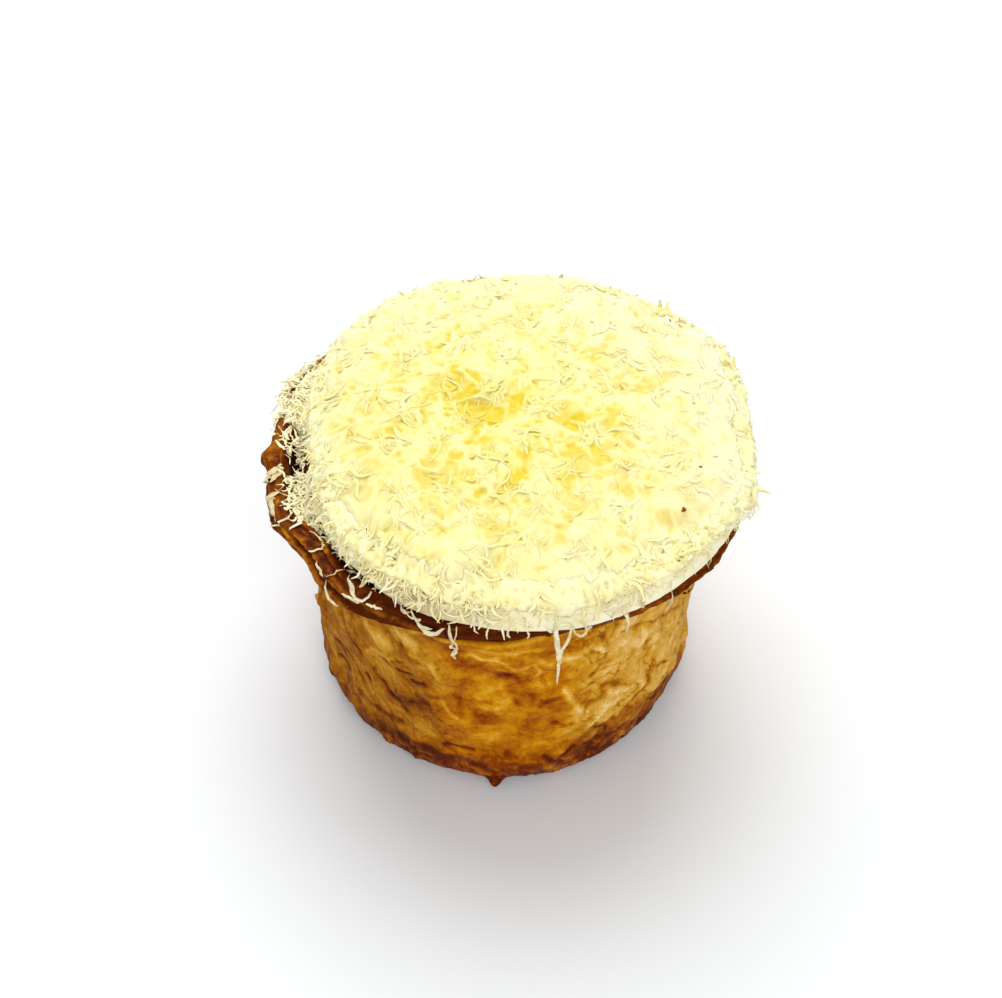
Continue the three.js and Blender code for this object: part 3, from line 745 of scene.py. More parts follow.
def wall_marks(degrees, z):
    """How much more baked the marks make each point of the wall, and how far they sink it in mm."""
    x, y = polar(degrees, WALL_RADIUS)
    stray_a, stray_z = rough(x / 1.8, y / 1.8, z / 1.8, 141, 3), rough(x / 1.8, y / 1.8, z / 1.8, 145, 3)
    along, up = np.radians(degrees) * WALL_RADIUS + 0.7 * stray_a, z + 0.7 * stray_z
    bake = sunk = 0 * x
    for width, darker, marks in WALL_MARKS:
        corners = [seen_on_wall(*mark) for mark in marks]
        corners = [(math.radians(a) * WALL_RADIUS, h) for a, h in corners]
        nearest = np.full(x.shape, np.inf)
        for (a, b), (c, d) in zip(corners, corners[1:]):
            share = ((along - a) * (c - a) + (up - b) * (d - b)) / ((c - a) ** 2 + (d - b) ** 2)
            share = np.clip(share, 0, 1)
            nearest = np.minimum(nearest, np.hypot(along - a - share * (c - a), up - b - share * (d - b)))
        shape = np.exp(-((nearest / (0.6 * width)) ** 2))
        bake = bake + darker * shape
        sunk = sunk + 0.9 * darker * shape
    return bake, sunk


def wall_detail(x, y, z, degrees):
    """Fine relief of the wall in mm, how baked and glazed it is, and how far it is painted towards near
    black: painted shade in its cracks and hollows, along with their own darker crust and the near black of
    the darkest marks.
    """
    left = smooth(-x, 3, 20)
    right = smooth(x, 6, 20)
    low = 1 - smooth(z + 3.0 * rough(x / 6, y / 6, 0 * z, 201, 3), 2, 15)
    middle = np.clip(1 - left - right, 0, 1)
    # Wrinkles that lean from the upper left to the lower right.
    tx, ty = polar(degrees + 1.1 * z, WALL_RADIUS)
    wrinkle = ridged(tx / 4.2, ty / 4.2, z / 15, 71, 1.6)
    small_wrinkle = ridged(tx / 1.8, ty / 1.8, z / 7, 75, 1.8)
    hollow = smooth(rough(tx / 2.4, ty / 2.4, z / 5, 78, 3), 0.1, 0.55)
    # Cracks between plates of lighter crust.
    warp = 0.5 * rough(x / 4, y / 4, z / 4, 79, 2)
    crack = ridged(x / 7 + warp, y / 7 + warp, z / 6, 81, 6)
    small_crack = ridged(x / 2.6, y / 2.6, z / 2.2, 85, 5)
    # Pools and folds of glaze.
    wave = rough(x / 8, y / 8, z / 5, 91, 3)
    swirl = rough((x + 5 * wave) / 4.0, (y + 5 * wave) / 4.0, (z + 4 * wave) / 2.8, 95, 3)
    fold = ridged((x + 5 * wave) / 3.4, (y + 5 * wave) / 3.4, (z + 3 * wave) / 2.0, 97, 4)
    pit = smooth(rough(x / 1.6, y / 1.6, z / 1.2, 101, 3), 0.05, 0.6)
    worm = ridged(x / 2.0, y / 2.0, z / 1.3, 103, 3)
    grainy = rough(x / 0.9, y / 0.9, z / 0.8, 105, 2)
    # On the right the lower part is a darker plate with a slanting upper edge.
    edge = 15.5 + 1.6 * rough(x / 3, y / 3, z / 9, 107, 3) - 0.1 * np.abs(degrees - 310)
    plate = smooth(degrees, 285, 297) * (1 - smooth(degrees, 338, 356)) * (1 - smooth(z - edge, -0.8, 0.8))
    patch = rough(x / 5 + wave, y / 5 + wave, z / 5, 109, 2)
    spot = smooth(rough(x / 1.9, y / 1.9, z / 1.7, 115, 3), 0.25, 0.5)
    pool = smooth(rough((x + 3 * wave) / 7, (y + 3 * wave) / 7, (z + 3 * wave) / 5, 117, 3), -0.1, 0.35)
    marked, sunk = wall_marks(degrees, z)
    relief = 0.7 * (
        left * (0.15 * wrinkle + 0.1 * small_wrinkle - 0.2 - 0.2 * hollow - 0.15 * spot)
        + middle * (0.45 * swirl + 0.3 * wave - 0.2 * crack + 0.15 * fold)
        + right * (0.3 * swirl - 0.4 * crack - 0.15 * small_crack)
        + low * (0.3 * worm - 0.5 * pit)
        - 0.4 * plate
        + 0.06 * grainy
        - sunk
    )
    bake = (
        0.5
        + left
        * (0.08 - 0.07 * (wrinkle - 0.3) - 0.07 * small_wrinkle + 0.12 * hollow - 0.14 * patch + 0.16 * spot)
        + middle * (0.06 - 0.18 * swirl - 0.08 * fold - 0.06 * patch + 0.2 * pool)
        + right * (-0.3 - 0.12 * swirl + 0.34 * crack + 0.14 * small_crack - 0.18 * patch + 0.12 * spot)
        + low * (0.4 + 0.24 * pit - 0.32 * worm)
        + 0.32 * plate
        + 0.08 * wave
        + 1.25 * marked
    )
    # Painted shade towards near black in the cracks on the right and the hollows on the left, on top of their
    # darker crust; the darkest marks go near black too.
    gap = right * 0.25 * crack * smooth(crack, 0.6, 1.0) + left * 0.2 * hollow * smooth(hollow, 0.8, 1.0)
    gap = gap + 0.5 * smooth(marked, 0.3, 0.42)
    glaze = np.clip(0.35 + 0.6 * middle - 0.2 * left + 0.3 * low + 0.2 * wave, 0, 1)
    return relief, {"bake": bake, "gap": gap, "glaze": glaze}


def outer_sheet():
    """The outermost sheet of dough: the wall with its rounded upper edge, and the foot."""
    crease = crease_height(AROUND)
    upper = np.linspace(1, 0, 86)[:, None]
    lower = np.linspace(1, 0, 16)[1:, None]
    foot = np.linspace(1, 0, 12)[1:-1, None]
    z = np.vstack([WALL_START + upper * (crease - WALL_START), WALL_START * lower**2 + 0 * AROUND])
    radius = side_radius(z) + crown_spread(side_radius(z), z, AROUND)
    x, y = polar(AROUND, radius)
    in_crown = smooth(z, WALL_END, CROWN_EDGE_Z)
    on_wall = smooth(z, 0, 5) * (1 - in_crown)
    coarse = on_wall * wall_relief(x, y, z) + 0.4 * in_crown * layer_relief(radius - z, AROUND)
    relief, looks = wall_detail(x, y, z, AROUND + 0 * z)
    roll = 0.35 * np.exp(-(((z - crease + 1.0) / 1.1) ** 2))
    lumps = 0
    for at, height, reach, along, up in CRUST_LUMPS:
        wide = math.degrees(along / WALL_RADIUS)
        lumps = lumps + reach * np.exp(-(((z - height) / up) ** 4)) * lobe(AROUND, at, wide)
    out = radius + coarse + smooth(z, 0, 2.5) * relief + roll + lumps
    # The edge turns in against the crown and goes down inside it.
    turn = np.linspace(np.pi, 0, 7)[:-1, None]
    ragged = 0.5 * rough(*polar(AROUND, 12), 0 * AROUND, 61)
    edge_out = out[:1] - 0.6 * (1 - np.cos(turn))
    edge_z = crease + (0.6 + ragged) * np.sin(turn)
    foot_out = foot * FOOT_RADIUS + 0 * AROUND
    fx, fy = polar(AROUND, foot_out)
    spiral = np.abs(((foot_out / 5.2 + AROUND / 360) % 1) - 0.5) * 2
    seam = smooth(spiral, 0.8, 1.0)
    foot_bump = 0.25 * smooth(rough(fx / 2, fy / 2, 0 * fx, 111), -0.2, 0.8) + 0.5 * seam
    foot_z = foot_bump * smooth(FOOT_RADIUS - foot_out, 0.5, 3)
    behind_z = crease - 3.0
    behind = side_radius(behind_z) + crown_spread(side_radius(behind_z), behind_z, AROUND) - 2.0
    all_out = np.vstack([behind, edge_out, out, foot_out])
    all_z = np.vstack([behind_z, edge_z, z, foot_z])
    ahead = 1 + len(turn)
    beside = {
        "bake": 0.62 + 0.15 * rough(fx / 5, fy / 5, 0 * fx, 113),
        "gap": 0.4 * seam,
        "glaze": 0.1 + 0 * fx,
    }
    values = {key: np.vstack([np.repeat(looks[key][:1], ahead, 0), looks[key], beside[key]]) for key in looks}
    lit_edge = np.exp(-(((all_z - crease) / 0.7) ** 2))
    values["bake"] = values["bake"] - 0.16 * lit_edge
    # The hidden row behind the edge and the inner end of its turn take painted shade.
    values["gap"][:2] = 0.6
    return grid_object("outer_sheet", *polar(AROUND, all_out), all_z, values, foot_point=(0, 0, 0.1))


def crown_profile():
    """Radius and height of the crown before its relief: flare, lip, and the top to inside the groove."""
    crease = crease_height(AROUND)
    flare_z = crease - 2.5 + np.linspace(0, 1, 40)[:, None] * (CROWN_EDGE_Z - crease + 2.5)
    corner = (CROWN_RADIUS - 0.4, PASTRY_TOP)
    lip = bow((CROWN_RADIUS, CROWN_EDGE_Z), corner, (LIP_RADIUS, PASTRY_TOP), 18)[1:]
    top_r = np.linspace(LIP_RADIUS, GROOVE_RADIUS - 6, 26)[1:, None]
    radius = np.vstack([side_radius(flare_z), lip[:, :1] + 0 * AROUND, top_r + 0 * AROUND])
    z = np.vstack([flare_z, lip[:, 1:] + 0 * AROUND, PASTRY_TOP + 0 * (top_r + AROUND)])
    return radius, z


def crown_leaves(x, y, z, along):
    """Noises of the crown: thin leaves of dough seen edge on, broken here and there, and crumbs.
    `along` is how far a point is from the crease over the surface."""
    streak = rough(x / 20, y / 20, along / 0.7, 121, 3)
    fine_streak = rough(x / 26, y / 26, along / 0.5, 123, 2)
    broken = smooth(rough(x / 3, y / 3, z / 1.2, 131, 3), -0.5, 0.3)
    leaf = ridged(x / 7, y / 7, along / 0.6, 125, 2) * broken
    crumb = rough(x / 1.3, y / 1.3, z / 0.9, 135, 3)
    return streak, fine_streak, leaf, crumb


def crown_looks(x, y, z, radius, on_top, leaves):
    """How baked and glazed the crown is, and how far it is painted towards near black: painted shade in its
    groove, between its leaves, on the top under the cream and in pits between crumbs.
    """
    streak, fine_streak, leaf, crumb = leaves
    front, left = lobe(AROUND, 268, 36), lobe(AROUND, 200, 45)
    inner = smooth(LIP_RADIUS + 1.5 - radius, 0, 5) * on_top
    outer = smooth(radius, LIP_RADIUS + 1, CROWN_RADIUS)
    groove = np.where(on_top, np.clip(-groove_relief(radius, AROUND) / GROOVE_DEPTH, 0, 1), 0)
    grit = rough(x / 0.7, y / 0.7, z / 0.6, 137, 2)
    # The front, under the cream's overhang, is painted darker: partly its own darker crumbly crust and partly
    # painted shade. The top inside the lip, under the cream, is painted darker too, as painted shade.
    bake = 0.84 + 0.3 * front + 0.08 * left + 0.2 * inner - 0.14 * outer * left
    bake = bake - 0.34 * streak - 0.4 * fine_streak * (1 - front) - 0.3 * leaf * (0.4 + left)
    bake = bake + (0.14 + 0.14 * front) * crumb + 0.1 * grit - 0.2 * lobe(AROUND, 178, 6) * outer
    # Painted shade towards near black in the groove, between the leaves, on the top inside under the cream
    # and in pits between crumbs.
    gap = 0.9 * groove + 0.5 * smooth(-streak, 0.3, 0.6) + 0.4 * inner + 0.4 * np.clip(-crumb, 0, 1)
    return {"bake": bake, "gap": gap, "glaze": 0.5 - 0.25 * outer * left}


def crown_form():
    """Places and looks of the crown, from inside outwards."""
    radius, z = crown_profile()
    on_top = z >= PASTRY_TOP - 1e-6
    in_crown = smooth(z, WALL_END, CROWN_EDGE_Z)
    outwards = smooth(radius, WALL_RADIUS - 8, LIP_RADIUS)
    at_edge = smooth(radius, LIP_RADIUS - 1, CROWN_RADIUS)
    spread = crown_spread(radius, z, AROUND)
    x, y = polar(AROUND, radius + spread)
    steps = np.hypot(np.diff(radius, axis=0), np.diff(z, axis=0)).cumsum(0)
    leaves = crown_leaves(x, y, z, np.vstack([0 * AROUND, steps]))
    streak, fine_streak, leaf, crumb = leaves
    front = lobe(AROUND, 268, 36)
    lump = smooth(rough(x / 2.6, y / 2.6, z / 2, 139, 2), 0.0, 0.7)
    flaky = 0.6 * streak + 0.35 * leaf + 0.3 * fine_streak - 0.2
    fine = (1 - 0.6 * front) * flaky + (0.3 + 0.5 * front) * 0.6 * crumb + 0.4 * lump * front
    crumbs = 0.5 * noise(x / 5, y / 5, z / 4, 5)
    layers = layer_relief(radius - z, AROUND)
    # Below the crease the crown is out of sight inside the outermost sheet.
    crease = crease_height(AROUND)
    behind = 1.3 * (1 - smooth(z, crease - 1.5, crease + 0.4)) * ~on_top
    flare_out = in_crown * outwards * (crumbs + layers) + crease_relief(z, AROUND) - behind
    out = np.where(on_top, 0.3 * crumbs, flare_out)
    out = radius + spread + out + np.where(on_top, 0.2, 1.0) * fine * outwards
    for at, reach, along in CROWN_LUMPS:
        bulge = lobe(AROUND, at, math.degrees(along / CROWN_RADIUS)) * at_edge
        out = out + reach * bulge * (1 + 0.5 * crumb) * in_crown
    down = np.where(
        on_top,
        groove_relief(radius, AROUND) + outwards * np.minimum(0, layers - 0.4) + 0.7 * fine * outwards,
        np.minimum(0, in_crown * at_edge * layers) + 0.4 * in_crown * at_edge * fine,
    )
    z = np.minimum(z + down, PASTRY_TOP + 0.15)
    looks = crown_looks(x, y, z, radius, on_top, leaves)
    inside_out = slice(None, None, -1)
    values = {key: (value + 0 * z)[inside_out] for key, value in looks.items()}
    cx, cy = polar(AROUND, out)
    return cx[inside_out], cy[inside_out], z[inside_out], values


# ---- Cream --------------------------------------------------------------------------------------


def cream_layer():
    degrees = full_turn(CREAM_COLUMNS)
    rim = CREAM_RADIUS
    flat = np.linspace(0.2, 1, 6)[:, None] * np.array([[rim - CREAM_ROUND, 0]]) + np.array([[0, CREAM_TOP]])
    side = bow((rim - CREAM_ROUND, CREAM_TOP), (rim, CREAM_TOP), (rim, CREAM_BULGE_Z), 16)[1:]
    below = bow((rim, CREAM_BULGE_Z), (rim, CREAM_BASE), (rim - CREAM_ROUND / 2, CREAM_BASE), 9)[1:]
    base = np.array([[rim - 8, CREAM_BASE], [rim - 20, CREAM_BASE]])
    profile = np.vstack([flat, side, below, base])
    radius, z = profile[:, :1] + 0 * degrees, profile[:, 1:] + 0 * degrees
    at_rim = smooth(radius, rim / 2, rim - CREAM_ROUND)
    x, y = polar(degrees, radius + at_rim * cream_wave(degrees))
    x, y = x + TOPPING_CENTRE[0], y + TOPPING_CENTRE[1]
    dents = 0.45 * rough(x / 6, y / 6, z / 3, 151, 3) + 0.15 * rough(x / 1.5, y / 1.5, z / 1.2, 155, 2)
    dx, dy = polar(degrees, at_rim * dents * smooth(z, CREAM_BASE, CREAM_BASE + 1))
    ends = {"top_point": (*TOPPING_CENTRE, CREAM_TOP), "foot_point": (*TOPPING_CENTRE, CREAM_BASE)}
    # The front left is painted greyer and browner: painted shade, along with the look of the thin hairs over
    # it.
    shade_under_hairs = 0.9 * lobe(degrees, 240, 17) * (1 + 0.5 * rough(x, y, z / 0.7, 157, 2)) + 0 * z
    return grid_object("cream_layer", x + dx, y + dy, z, {"shade_under_hairs": np.clip(shade_under_hairs, 0, 1)}, **ends)


# ---- Grated cheese ------------------------------------------------------------------------------


def felt_of(draw, spans, count, length, width, lean):
    """Packed shreds seen flat, as grids over the spans: how far each point stands out in mm, and
    the shade of the shred that is topmost there. `lean` gives their direction at a place."""
    (left, right), (low, high) = spans
    across, upwards = np.arange(left, right, FELT_STEP), np.arange(low, high, FELT_STEP)
    height = np.full((len(upwards), len(across)), -0.6)
    shade = np.full(height.shape, 0.2)
    x, y = draw.uniform(left, right, count), draw.uniform(low, high, count)
    heading = np.radians(lean(x, y) + draw.normal(0, 35, count))
    length, width = draw.uniform(*length, count), draw.uniform(*width, count)
    lift, tilt = draw.normal(0, 0.28, count), draw.normal(0, 0.08, count)
    bend, own = draw.normal(0, 0.5, count), draw.uniform(0, 1, count)
    reach = length / 2 + width
    rows = [np.clip((y - low + d * reach) / FELT_STEP, 0, len(upwards)).astype(int) for d in (-1, 1)]
    columns = [np.clip((x - left + d * reach) / FELT_STEP, 0, len(across)).astype(int) for d in (-1, 1)]
    for k in range(count):
        patch = slice(rows[0][k], rows[1][k]), slice(columns[0][k], columns[1][k])
        dx, dy = across[None, patch[1]] - x[k], upwards[patch[0], None] - y[k]
        c, s = math.cos(heading[k]), math.sin(heading[k])
        u = (c * dx + s * dy) / length[k] * 2
        v = (c * dy - s * dx - bend[k] * u**2) / width[k] * 2
        body = np.maximum((1 - u**4) * (1 - v**2), 0)
        bump = lift[k] + tilt[k] * u * length[k] / 2 + FELT_BODY * width[k] * body**0.5
        on_top = (np.abs(u) < 1) & (np.abs(v) < 1) & (bump > height[patch])
        height[patch][on_top] = bump[on_top]
        shade[patch][on_top] = own[k]
    return blurred(height, 0.5), blurred(shade, 0.4)


def blurred(grid, width):
    """A grid smoothed over `width` mm."""
    reach = int(1.5 * width / FELT_STEP)
    bell = np.exp(-((np.arange(-reach, reach + 1) * FELT_STEP / width * 2) ** 2))
    bell /= bell.sum()
    for axis in (0, 1):
        padded = np.pad(grid, [(reach, reach) if k == axis else (0, 0) for k in (0, 1)], "edge")
        grid = np.apply_along_axis(np.convolve, axis, padded, bell, "valid")
    return grid


def grid_at(grid, column, row):
    """Values of a grid between its points."""
    j, i = np.clip(column.astype(int), 0, grid.shape[1] - 2), np.clip(row.astype(int), 0, grid.shape[0] - 2)
    u, v = np.clip(column - j, 0, 1), np.clip(row - i, 0, 1)
    near = (1 - u) * grid[i, j] + u * grid[i, j + 1]
    far = (1 - u) * grid[i + 1, j] + u * grid[i + 1, j + 1]
    return (1 - v) * near + v * far


def felt_at(grid, x, y):
    """Values of a grid over the topping at points of it."""
    column, row = ((v + FELT_HALF - c) / FELT_STEP for v, c in zip((x, y), TOPPING_CENTRE))
    return grid_at(grid, column, row)


def heap_lean(x, y):
    """Direction in degrees that the shreds near a place of the heap share."""
    return 300 * noise(x / 7, y / 7, 0 * x, 171)


def tone_and_hollow_shade_of(relief, sunk, x, y):
    """How much deeper yellow the cheese is painted at a place of the broad relief, sunk so far in the felt:
    painted shade in hollows and where it lies sunk, together with its own patchy yellow and the yellow spots.
    """
    cloud = noise(x / 3.0, y / 3.0, 0 * x, 177) + 0.8 * noise(x / 1.4, y / 1.4, 0 * x, 178)
    # Painted shade in the hollows of the broad relief, mixed with cloudy yellow of the cheese's own.
    low = smooth(-0.5 * relief - 0.9 * cloud, -0.3, 1.1)
    spots = 0 * x
    for u, v, pixels in YELLOW_SPOTS:
        at_x, at_y = seen_on_heap(u, v)
        radius = round(pixels / SPOTS_PIXELS_PER_MM, 1)
        away = np.hypot(x - at_x, (y - at_y) / 1.1)
        spots = np.maximum(spots, np.exp(-((away / radius) ** 2)))
    return np.clip((1.05 * low + 0.95 * spots) * (0.5 + 1.2 * sunk) + 0.45 * sunk**2 - 0.12, 0, 1)


def pale_of(share, x, y):
    """How pale the cheese is: more towards the rim, the right and the back of the heap."""
    tufts = 0.16 * noise(x / 2.6, y / 2.6, 0 * x, 175)
    side = 0.16 * smooth(y, 0, 30) + 0.16 * smooth(x, -5, 30) + 0.3 * smooth(x, 30, 44)
    return 0.04 + tufts + 0.2 * smooth(share, 0.25, 0.8) + side + 0.2 * smooth(share, 0.85, 1)


def cheese_core():
    """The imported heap: a lumpy cap of felted shreds, its rim, and the underside on the cream."""
    degrees = full_turn(HEAP_COLUMNS)
    shares = np.concatenate([np.linspace(0.02, 1, 112), [1.012, 0.985, 0.9, 0.7]])[:, None]
    low = np.array([HEAP_EDGE_Z + 0.9, HEAP_EDGE_Z + 0.2, CREAM_TOP + 0.1, CREAM_TOP + 0.1])
    plain_z = np.concatenate([heap_height(shares[:112, 0]), low])[:, None] + 0 * degrees
    x, y = polar(degrees, shares * heap_radius(degrees))
    x, y = x + TOPPING_CENTRE[0], y + TOPPING_CENTRE[1]
    relief = heap_relief(x, y, plain_z)
    upper = smooth(plain_z, HEAP_EDGE_Z, HEAP_EDGE_Z + 3)
    outer = smooth(shares, 0.85, 1)
    fuzz = 0.35 * rough(x / 1.2, y / 1.2, plain_z / 1.2, 161, 3)
    felt = felt_at(FELT, x, y)
    rim_tuft = rough(x / 1.3, y / 1.3, plain_z / 2.6, 165, 3)
    dx, dy = polar(degrees, outer * (0.8 * relief + fuzz + 0.7 * rim_tuft - 0.3))
    z = plain_z + upper * (relief + felt + 0.3 * fuzz)
    sunk = np.clip(0.35 - 1.6 * felt_at(FELT_STANDS, x, y), 0, 1)
    values = {
        "shade": np.clip(0.25 + 0.5 * felt_at(FELT_SHADE, x, y) + 0.5 * felt + 0.5 * outer * rim_tuft, 0, 1),
        "pale": np.clip(pale_of(shares + 0 * z, x, y), 0, 1),
        # Painted shade: deeper yellow in hollows and where the felt lies sunk, with patchy yellow of its own.
        "tone_and_hollow_shade": tone_and_hollow_shade_of(relief, sunk, x, y) * (1 - 0.75 * outer),
    }
    middle = (*TOPPING_CENTRE, float(heap_surface(*map(np.array, TOPPING_CENTRE)) + 0.1))
    foot = (*TOPPING_CENTRE, CREAM_TOP + 0.1)
    return grid_object("cheese_core", x + dx, y + dy, z, values, top_point=middle, foot_point=foot)


def lying(degrees, up, rise, tilt=0.0):
    """Directions over a surface that faces `up`, lifted out of it by `rise`."""
    heading = np.stack([*polar(degrees, 1.0), tilt + 0 * degrees], 1)
    return unit(heading - up * (heading * up).sum(1, keepdims=True)) + up * rise[:, None]


def curved_paths(draw, middle, heading, up, length, bends, arches, steps):
    """Paths of so many steps through their middles, their lengths drawn from a range. `bends` is
    how far they curve sideways, by the square and the cube of the length, and `arches` how far
    they curve up on average, and by the square and the cube."""
    count = len(middle)
    bend = draw.normal(0, bends, (count, 2))
    arch = draw.normal((arches[0], 0), arches[1:], (count, 2))
    q = np.linspace(-0.5, 0.5, steps)[None, :, None]
    long = draw.uniform(*length, count)[:, None, None]
    along = unit(heading)
    side = unit(np.cross(up, along))
    lift = np.cross(along, side)
    sideways = (bend[:, :1, None] * q**2 + bend[:, 1:, None] * q**3) * long
    upwards = (arch[:, :1, None] * q**2 + arch[:, 1:, None] * q**3) * long
    flat = middle[:, None, :] + along[:, None, :] * long * q
    return flat + side[:, None, :] * sideways + lift[:, None, :] * upwards


def heap_shreds(name, draw, count, length, width, lift, steep, droop, steps):
    """Shreds in loose tufts all over the heap. `droop` is how closely they follow its surface."""
    tufts = count // 7
    tuft_share = 0.995 * np.sqrt((np.arange(tufts) + 0.5) / tufts)
    tuft_at = np.arange(tufts) * 137.508 + draw.normal(0, 4, tufts)
    tuft_heading = draw.uniform(0, 360, tufts)
    tx, ty = polar(tuft_at, tuft_share * heap_radius(tuft_at))
    pick = draw.integers(0, tufts, count)
    x = tx[pick] + TOPPING_CENTRE[0] + draw.normal(0, 1.2, count)
    y = ty[pick] + TOPPING_CENTRE[1] + draw.normal(0, 1.2, count)
    dx, dy = x - TOPPING_CENTRE[0], y - TOPPING_CENTRE[1]
    share = np.hypot(dx, dy) / heap_radius(np.degrees(np.arctan2(dy, dx)))
    inside = share < 1.0
    x, y, pick, share = (v[inside] for v in (x, y, pick, share))
    count = len(x)
    ground = heap_surface(x, y)
    step = 0.4
    slope_x = (heap_surface(x + step, y) - heap_surface(x - step, y)) / (2 * step)
    slope_y = (heap_surface(x, y + step) - heap_surface(x, y - step)) / (2 * step)
    up = unit(np.stack([-slope_x, -slope_y, np.ones(count)], 1))
    heading = lying(tuft_heading[pick] + draw.normal(0, 40, count), up, draw.normal(0.04, steep, count))
    raised = draw.uniform(*lift, count)
    relief, felt = heap_relief(x, y, heap_height(share)), felt_at(FELT, x, y)
    middle = np.stack([x, y, ground + 0.8 * felt], 1) + up * raised[:, None]
    paths = curved_paths(draw, middle, heading, up, length, (0.6, 2.0), (-0.4, 0.5, 0.9), steps)
    # They sag onto the felt below them.
    ground = heap_surface(paths[..., 0], paths[..., 1]) + felt_at(FELT, paths[..., 0], paths[..., 1])
    paths[..., 2] = (1 - droop) * paths[..., 2] + droop * (ground + raised[:, None])
    twist = draw.normal(0, (0.5, 0.6), (count, 2)) * (1 - 0.8 * droop)
    outer = smooth(share, 0.82, 1.0)
    # Painted shade: shreds lying low in hollows are painted deeper yellow, raised ones less.
    tone_and_hollow_shade = tone_and_hollow_shade_of(relief, 0.3 - 0.3 * felt, x, y) * (0.8 - 0.5 * raised) + draw.normal(0, 0.06, count)
    values = {
        "shade": np.clip(0.45 + 0.4 * raised + draw.normal(0, 0.22, count), 0, 1),
        "pale": np.clip(pale_of(share, x, y) + draw.normal(0.04, 0.1, count), 0, 1),
        "tone_and_hollow_shade": np.clip(tone_and_hollow_shade, 0, 1) * (1 - outer),
    }
    widths, thickness = draw.uniform(*width, count), draw.uniform(0.14, 0.3, count)
    return strands_mesh(name, paths, up, widths, thickness, twist, values)


def shoulder(degrees, along):
    """Radius and height over the shoulders of heap and cream, from 0 on the heap to 5 below the
    cream's rim, and the outward direction there: its shares across and up."""
    heap_rim, cream_rim = heap_radius(degrees), CREAM_RADIUS + cream_wave(degrees)
    rim = np.maximum(heap_rim, cream_rim)
    middle = 0.5 * (heap_rim + rim)
    marks = [heap_rim - 3.5, heap_rim - 1.2, middle - 0.3, rim - 0.9, rim + 0.3, rim + 0.1]
    radii = np.stack([mark + 0 * along for mark in marks], -1)
    heights = np.array(SHOULDER_HEIGHTS)
    first = np.clip(along.astype(int), 0, 4)
    share = along - first
    start = np.take_along_axis(radii, first[..., None], -1)[..., 0]
    run = np.take_along_axis(radii, first[..., None] + 1, -1)[..., 0] - start
    drop = heights[first] - heights[first + 1]
    outwards = unit(np.stack([drop + 0.6, run + 0.9], -1))
    radius, z = start + share * run, heights[first] - share * drop
    x, y = polar(degrees, radius)
    lumps = heap_relief(x + TOPPING_CENTRE[0], y + TOPPING_CENTRE[1], z)
    return radius, z + 0.9 * lumps * (1 - smooth(along, 0.3, 2.8)), outwards[..., 0], outwards[..., 1]


def skirt_lean(x, y):
    """Direction in degrees that the shreds of the skirt share: roughly up and down."""
    return 90 + 40 * noise(x / 5, y / 5, 0 * x, 191)


def cheese_skirt(draw):
    """Felted cheese over the shoulders of heap and cream, with a ragged lower edge."""
    around, down = 2 * math.pi * CREAM_RADIUS, 9.0
    felt, felt_shade = felt_of(draw, ((0, around), (0, down)), 3800, (1.2, 4.5), (0.45, 1.1), skirt_lean)
    stands = blurred(felt, 0.6) - blurred(felt, 3.0)
    degrees = full_turn(SKIRT_COLUMNS)
    lower = 4.4 + 0.7 * rough(*polar(degrees, 20), 0 * degrees, 181, 3)
    lower = lower + reach_of(SKIRT_NOTCHES, degrees)
    along = np.linspace(0, 1, 40)[:, None] * lower
    radius, z, across, up = shoulder(degrees, along)
    # The grid of the felt begins and ends at the back.
    place = ((degrees - 90) % 360 / 360 * around) / FELT_STEP + 0 * along, along / 5 * down / FELT_STEP
    out, shade, stand = (grid_at(grid, *place) for grid in (felt, felt_shade, stands))
    tx, ty = polar(degrees, CREAM_RADIUS)
    blotch = rough(tx / 3, ty / 3, along / 1.5, 187, 2)
    # It starts and ends sunk in what it covers.
    thick = (0.2 + out + 0.3 * blotch) * smooth(lower - along, 0, 0.5)
    thick = thick - 0.4 * (1 - smooth(lower - along, 0, 0.3)) - 0.7 * (1 - smooth(along, 0, 0.5))
    x, y = polar(degrees, radius + thick * across)
    low = smooth(along, 2, 4.5)
    sunk = np.clip(0.35 - 1.6 * stand, 0, 1)
    values = {
        "shade": np.clip(0.25 + 0.5 * shade + 0.5 * out, 0, 1),
        "pale": np.clip(0.52 + 0.3 * blotch + 0.3 * low, 0, 1),
        # Painted shade: deeper yellow where the felt lies sunk, with patchy yellow of its own.
        "tone_and_hollow_shade": np.clip(0.7 * sunk * smooth(-blotch, -0.4, 0.5) * (1 - low), 0, 1),
    }
    x, y, z = x + TOPPING_CENTRE[0], y + TOPPING_CENTRE[1], z + thick * up
    # The hidden inside joins the lower edge to the upper one.
    closed = [np.vstack([grid, grid[:1]]) for grid in (x, y, z)]
    return grid_object("skirt", *closed, {key: np.vstack([v, v[:1]]) for key, v in values.items()})


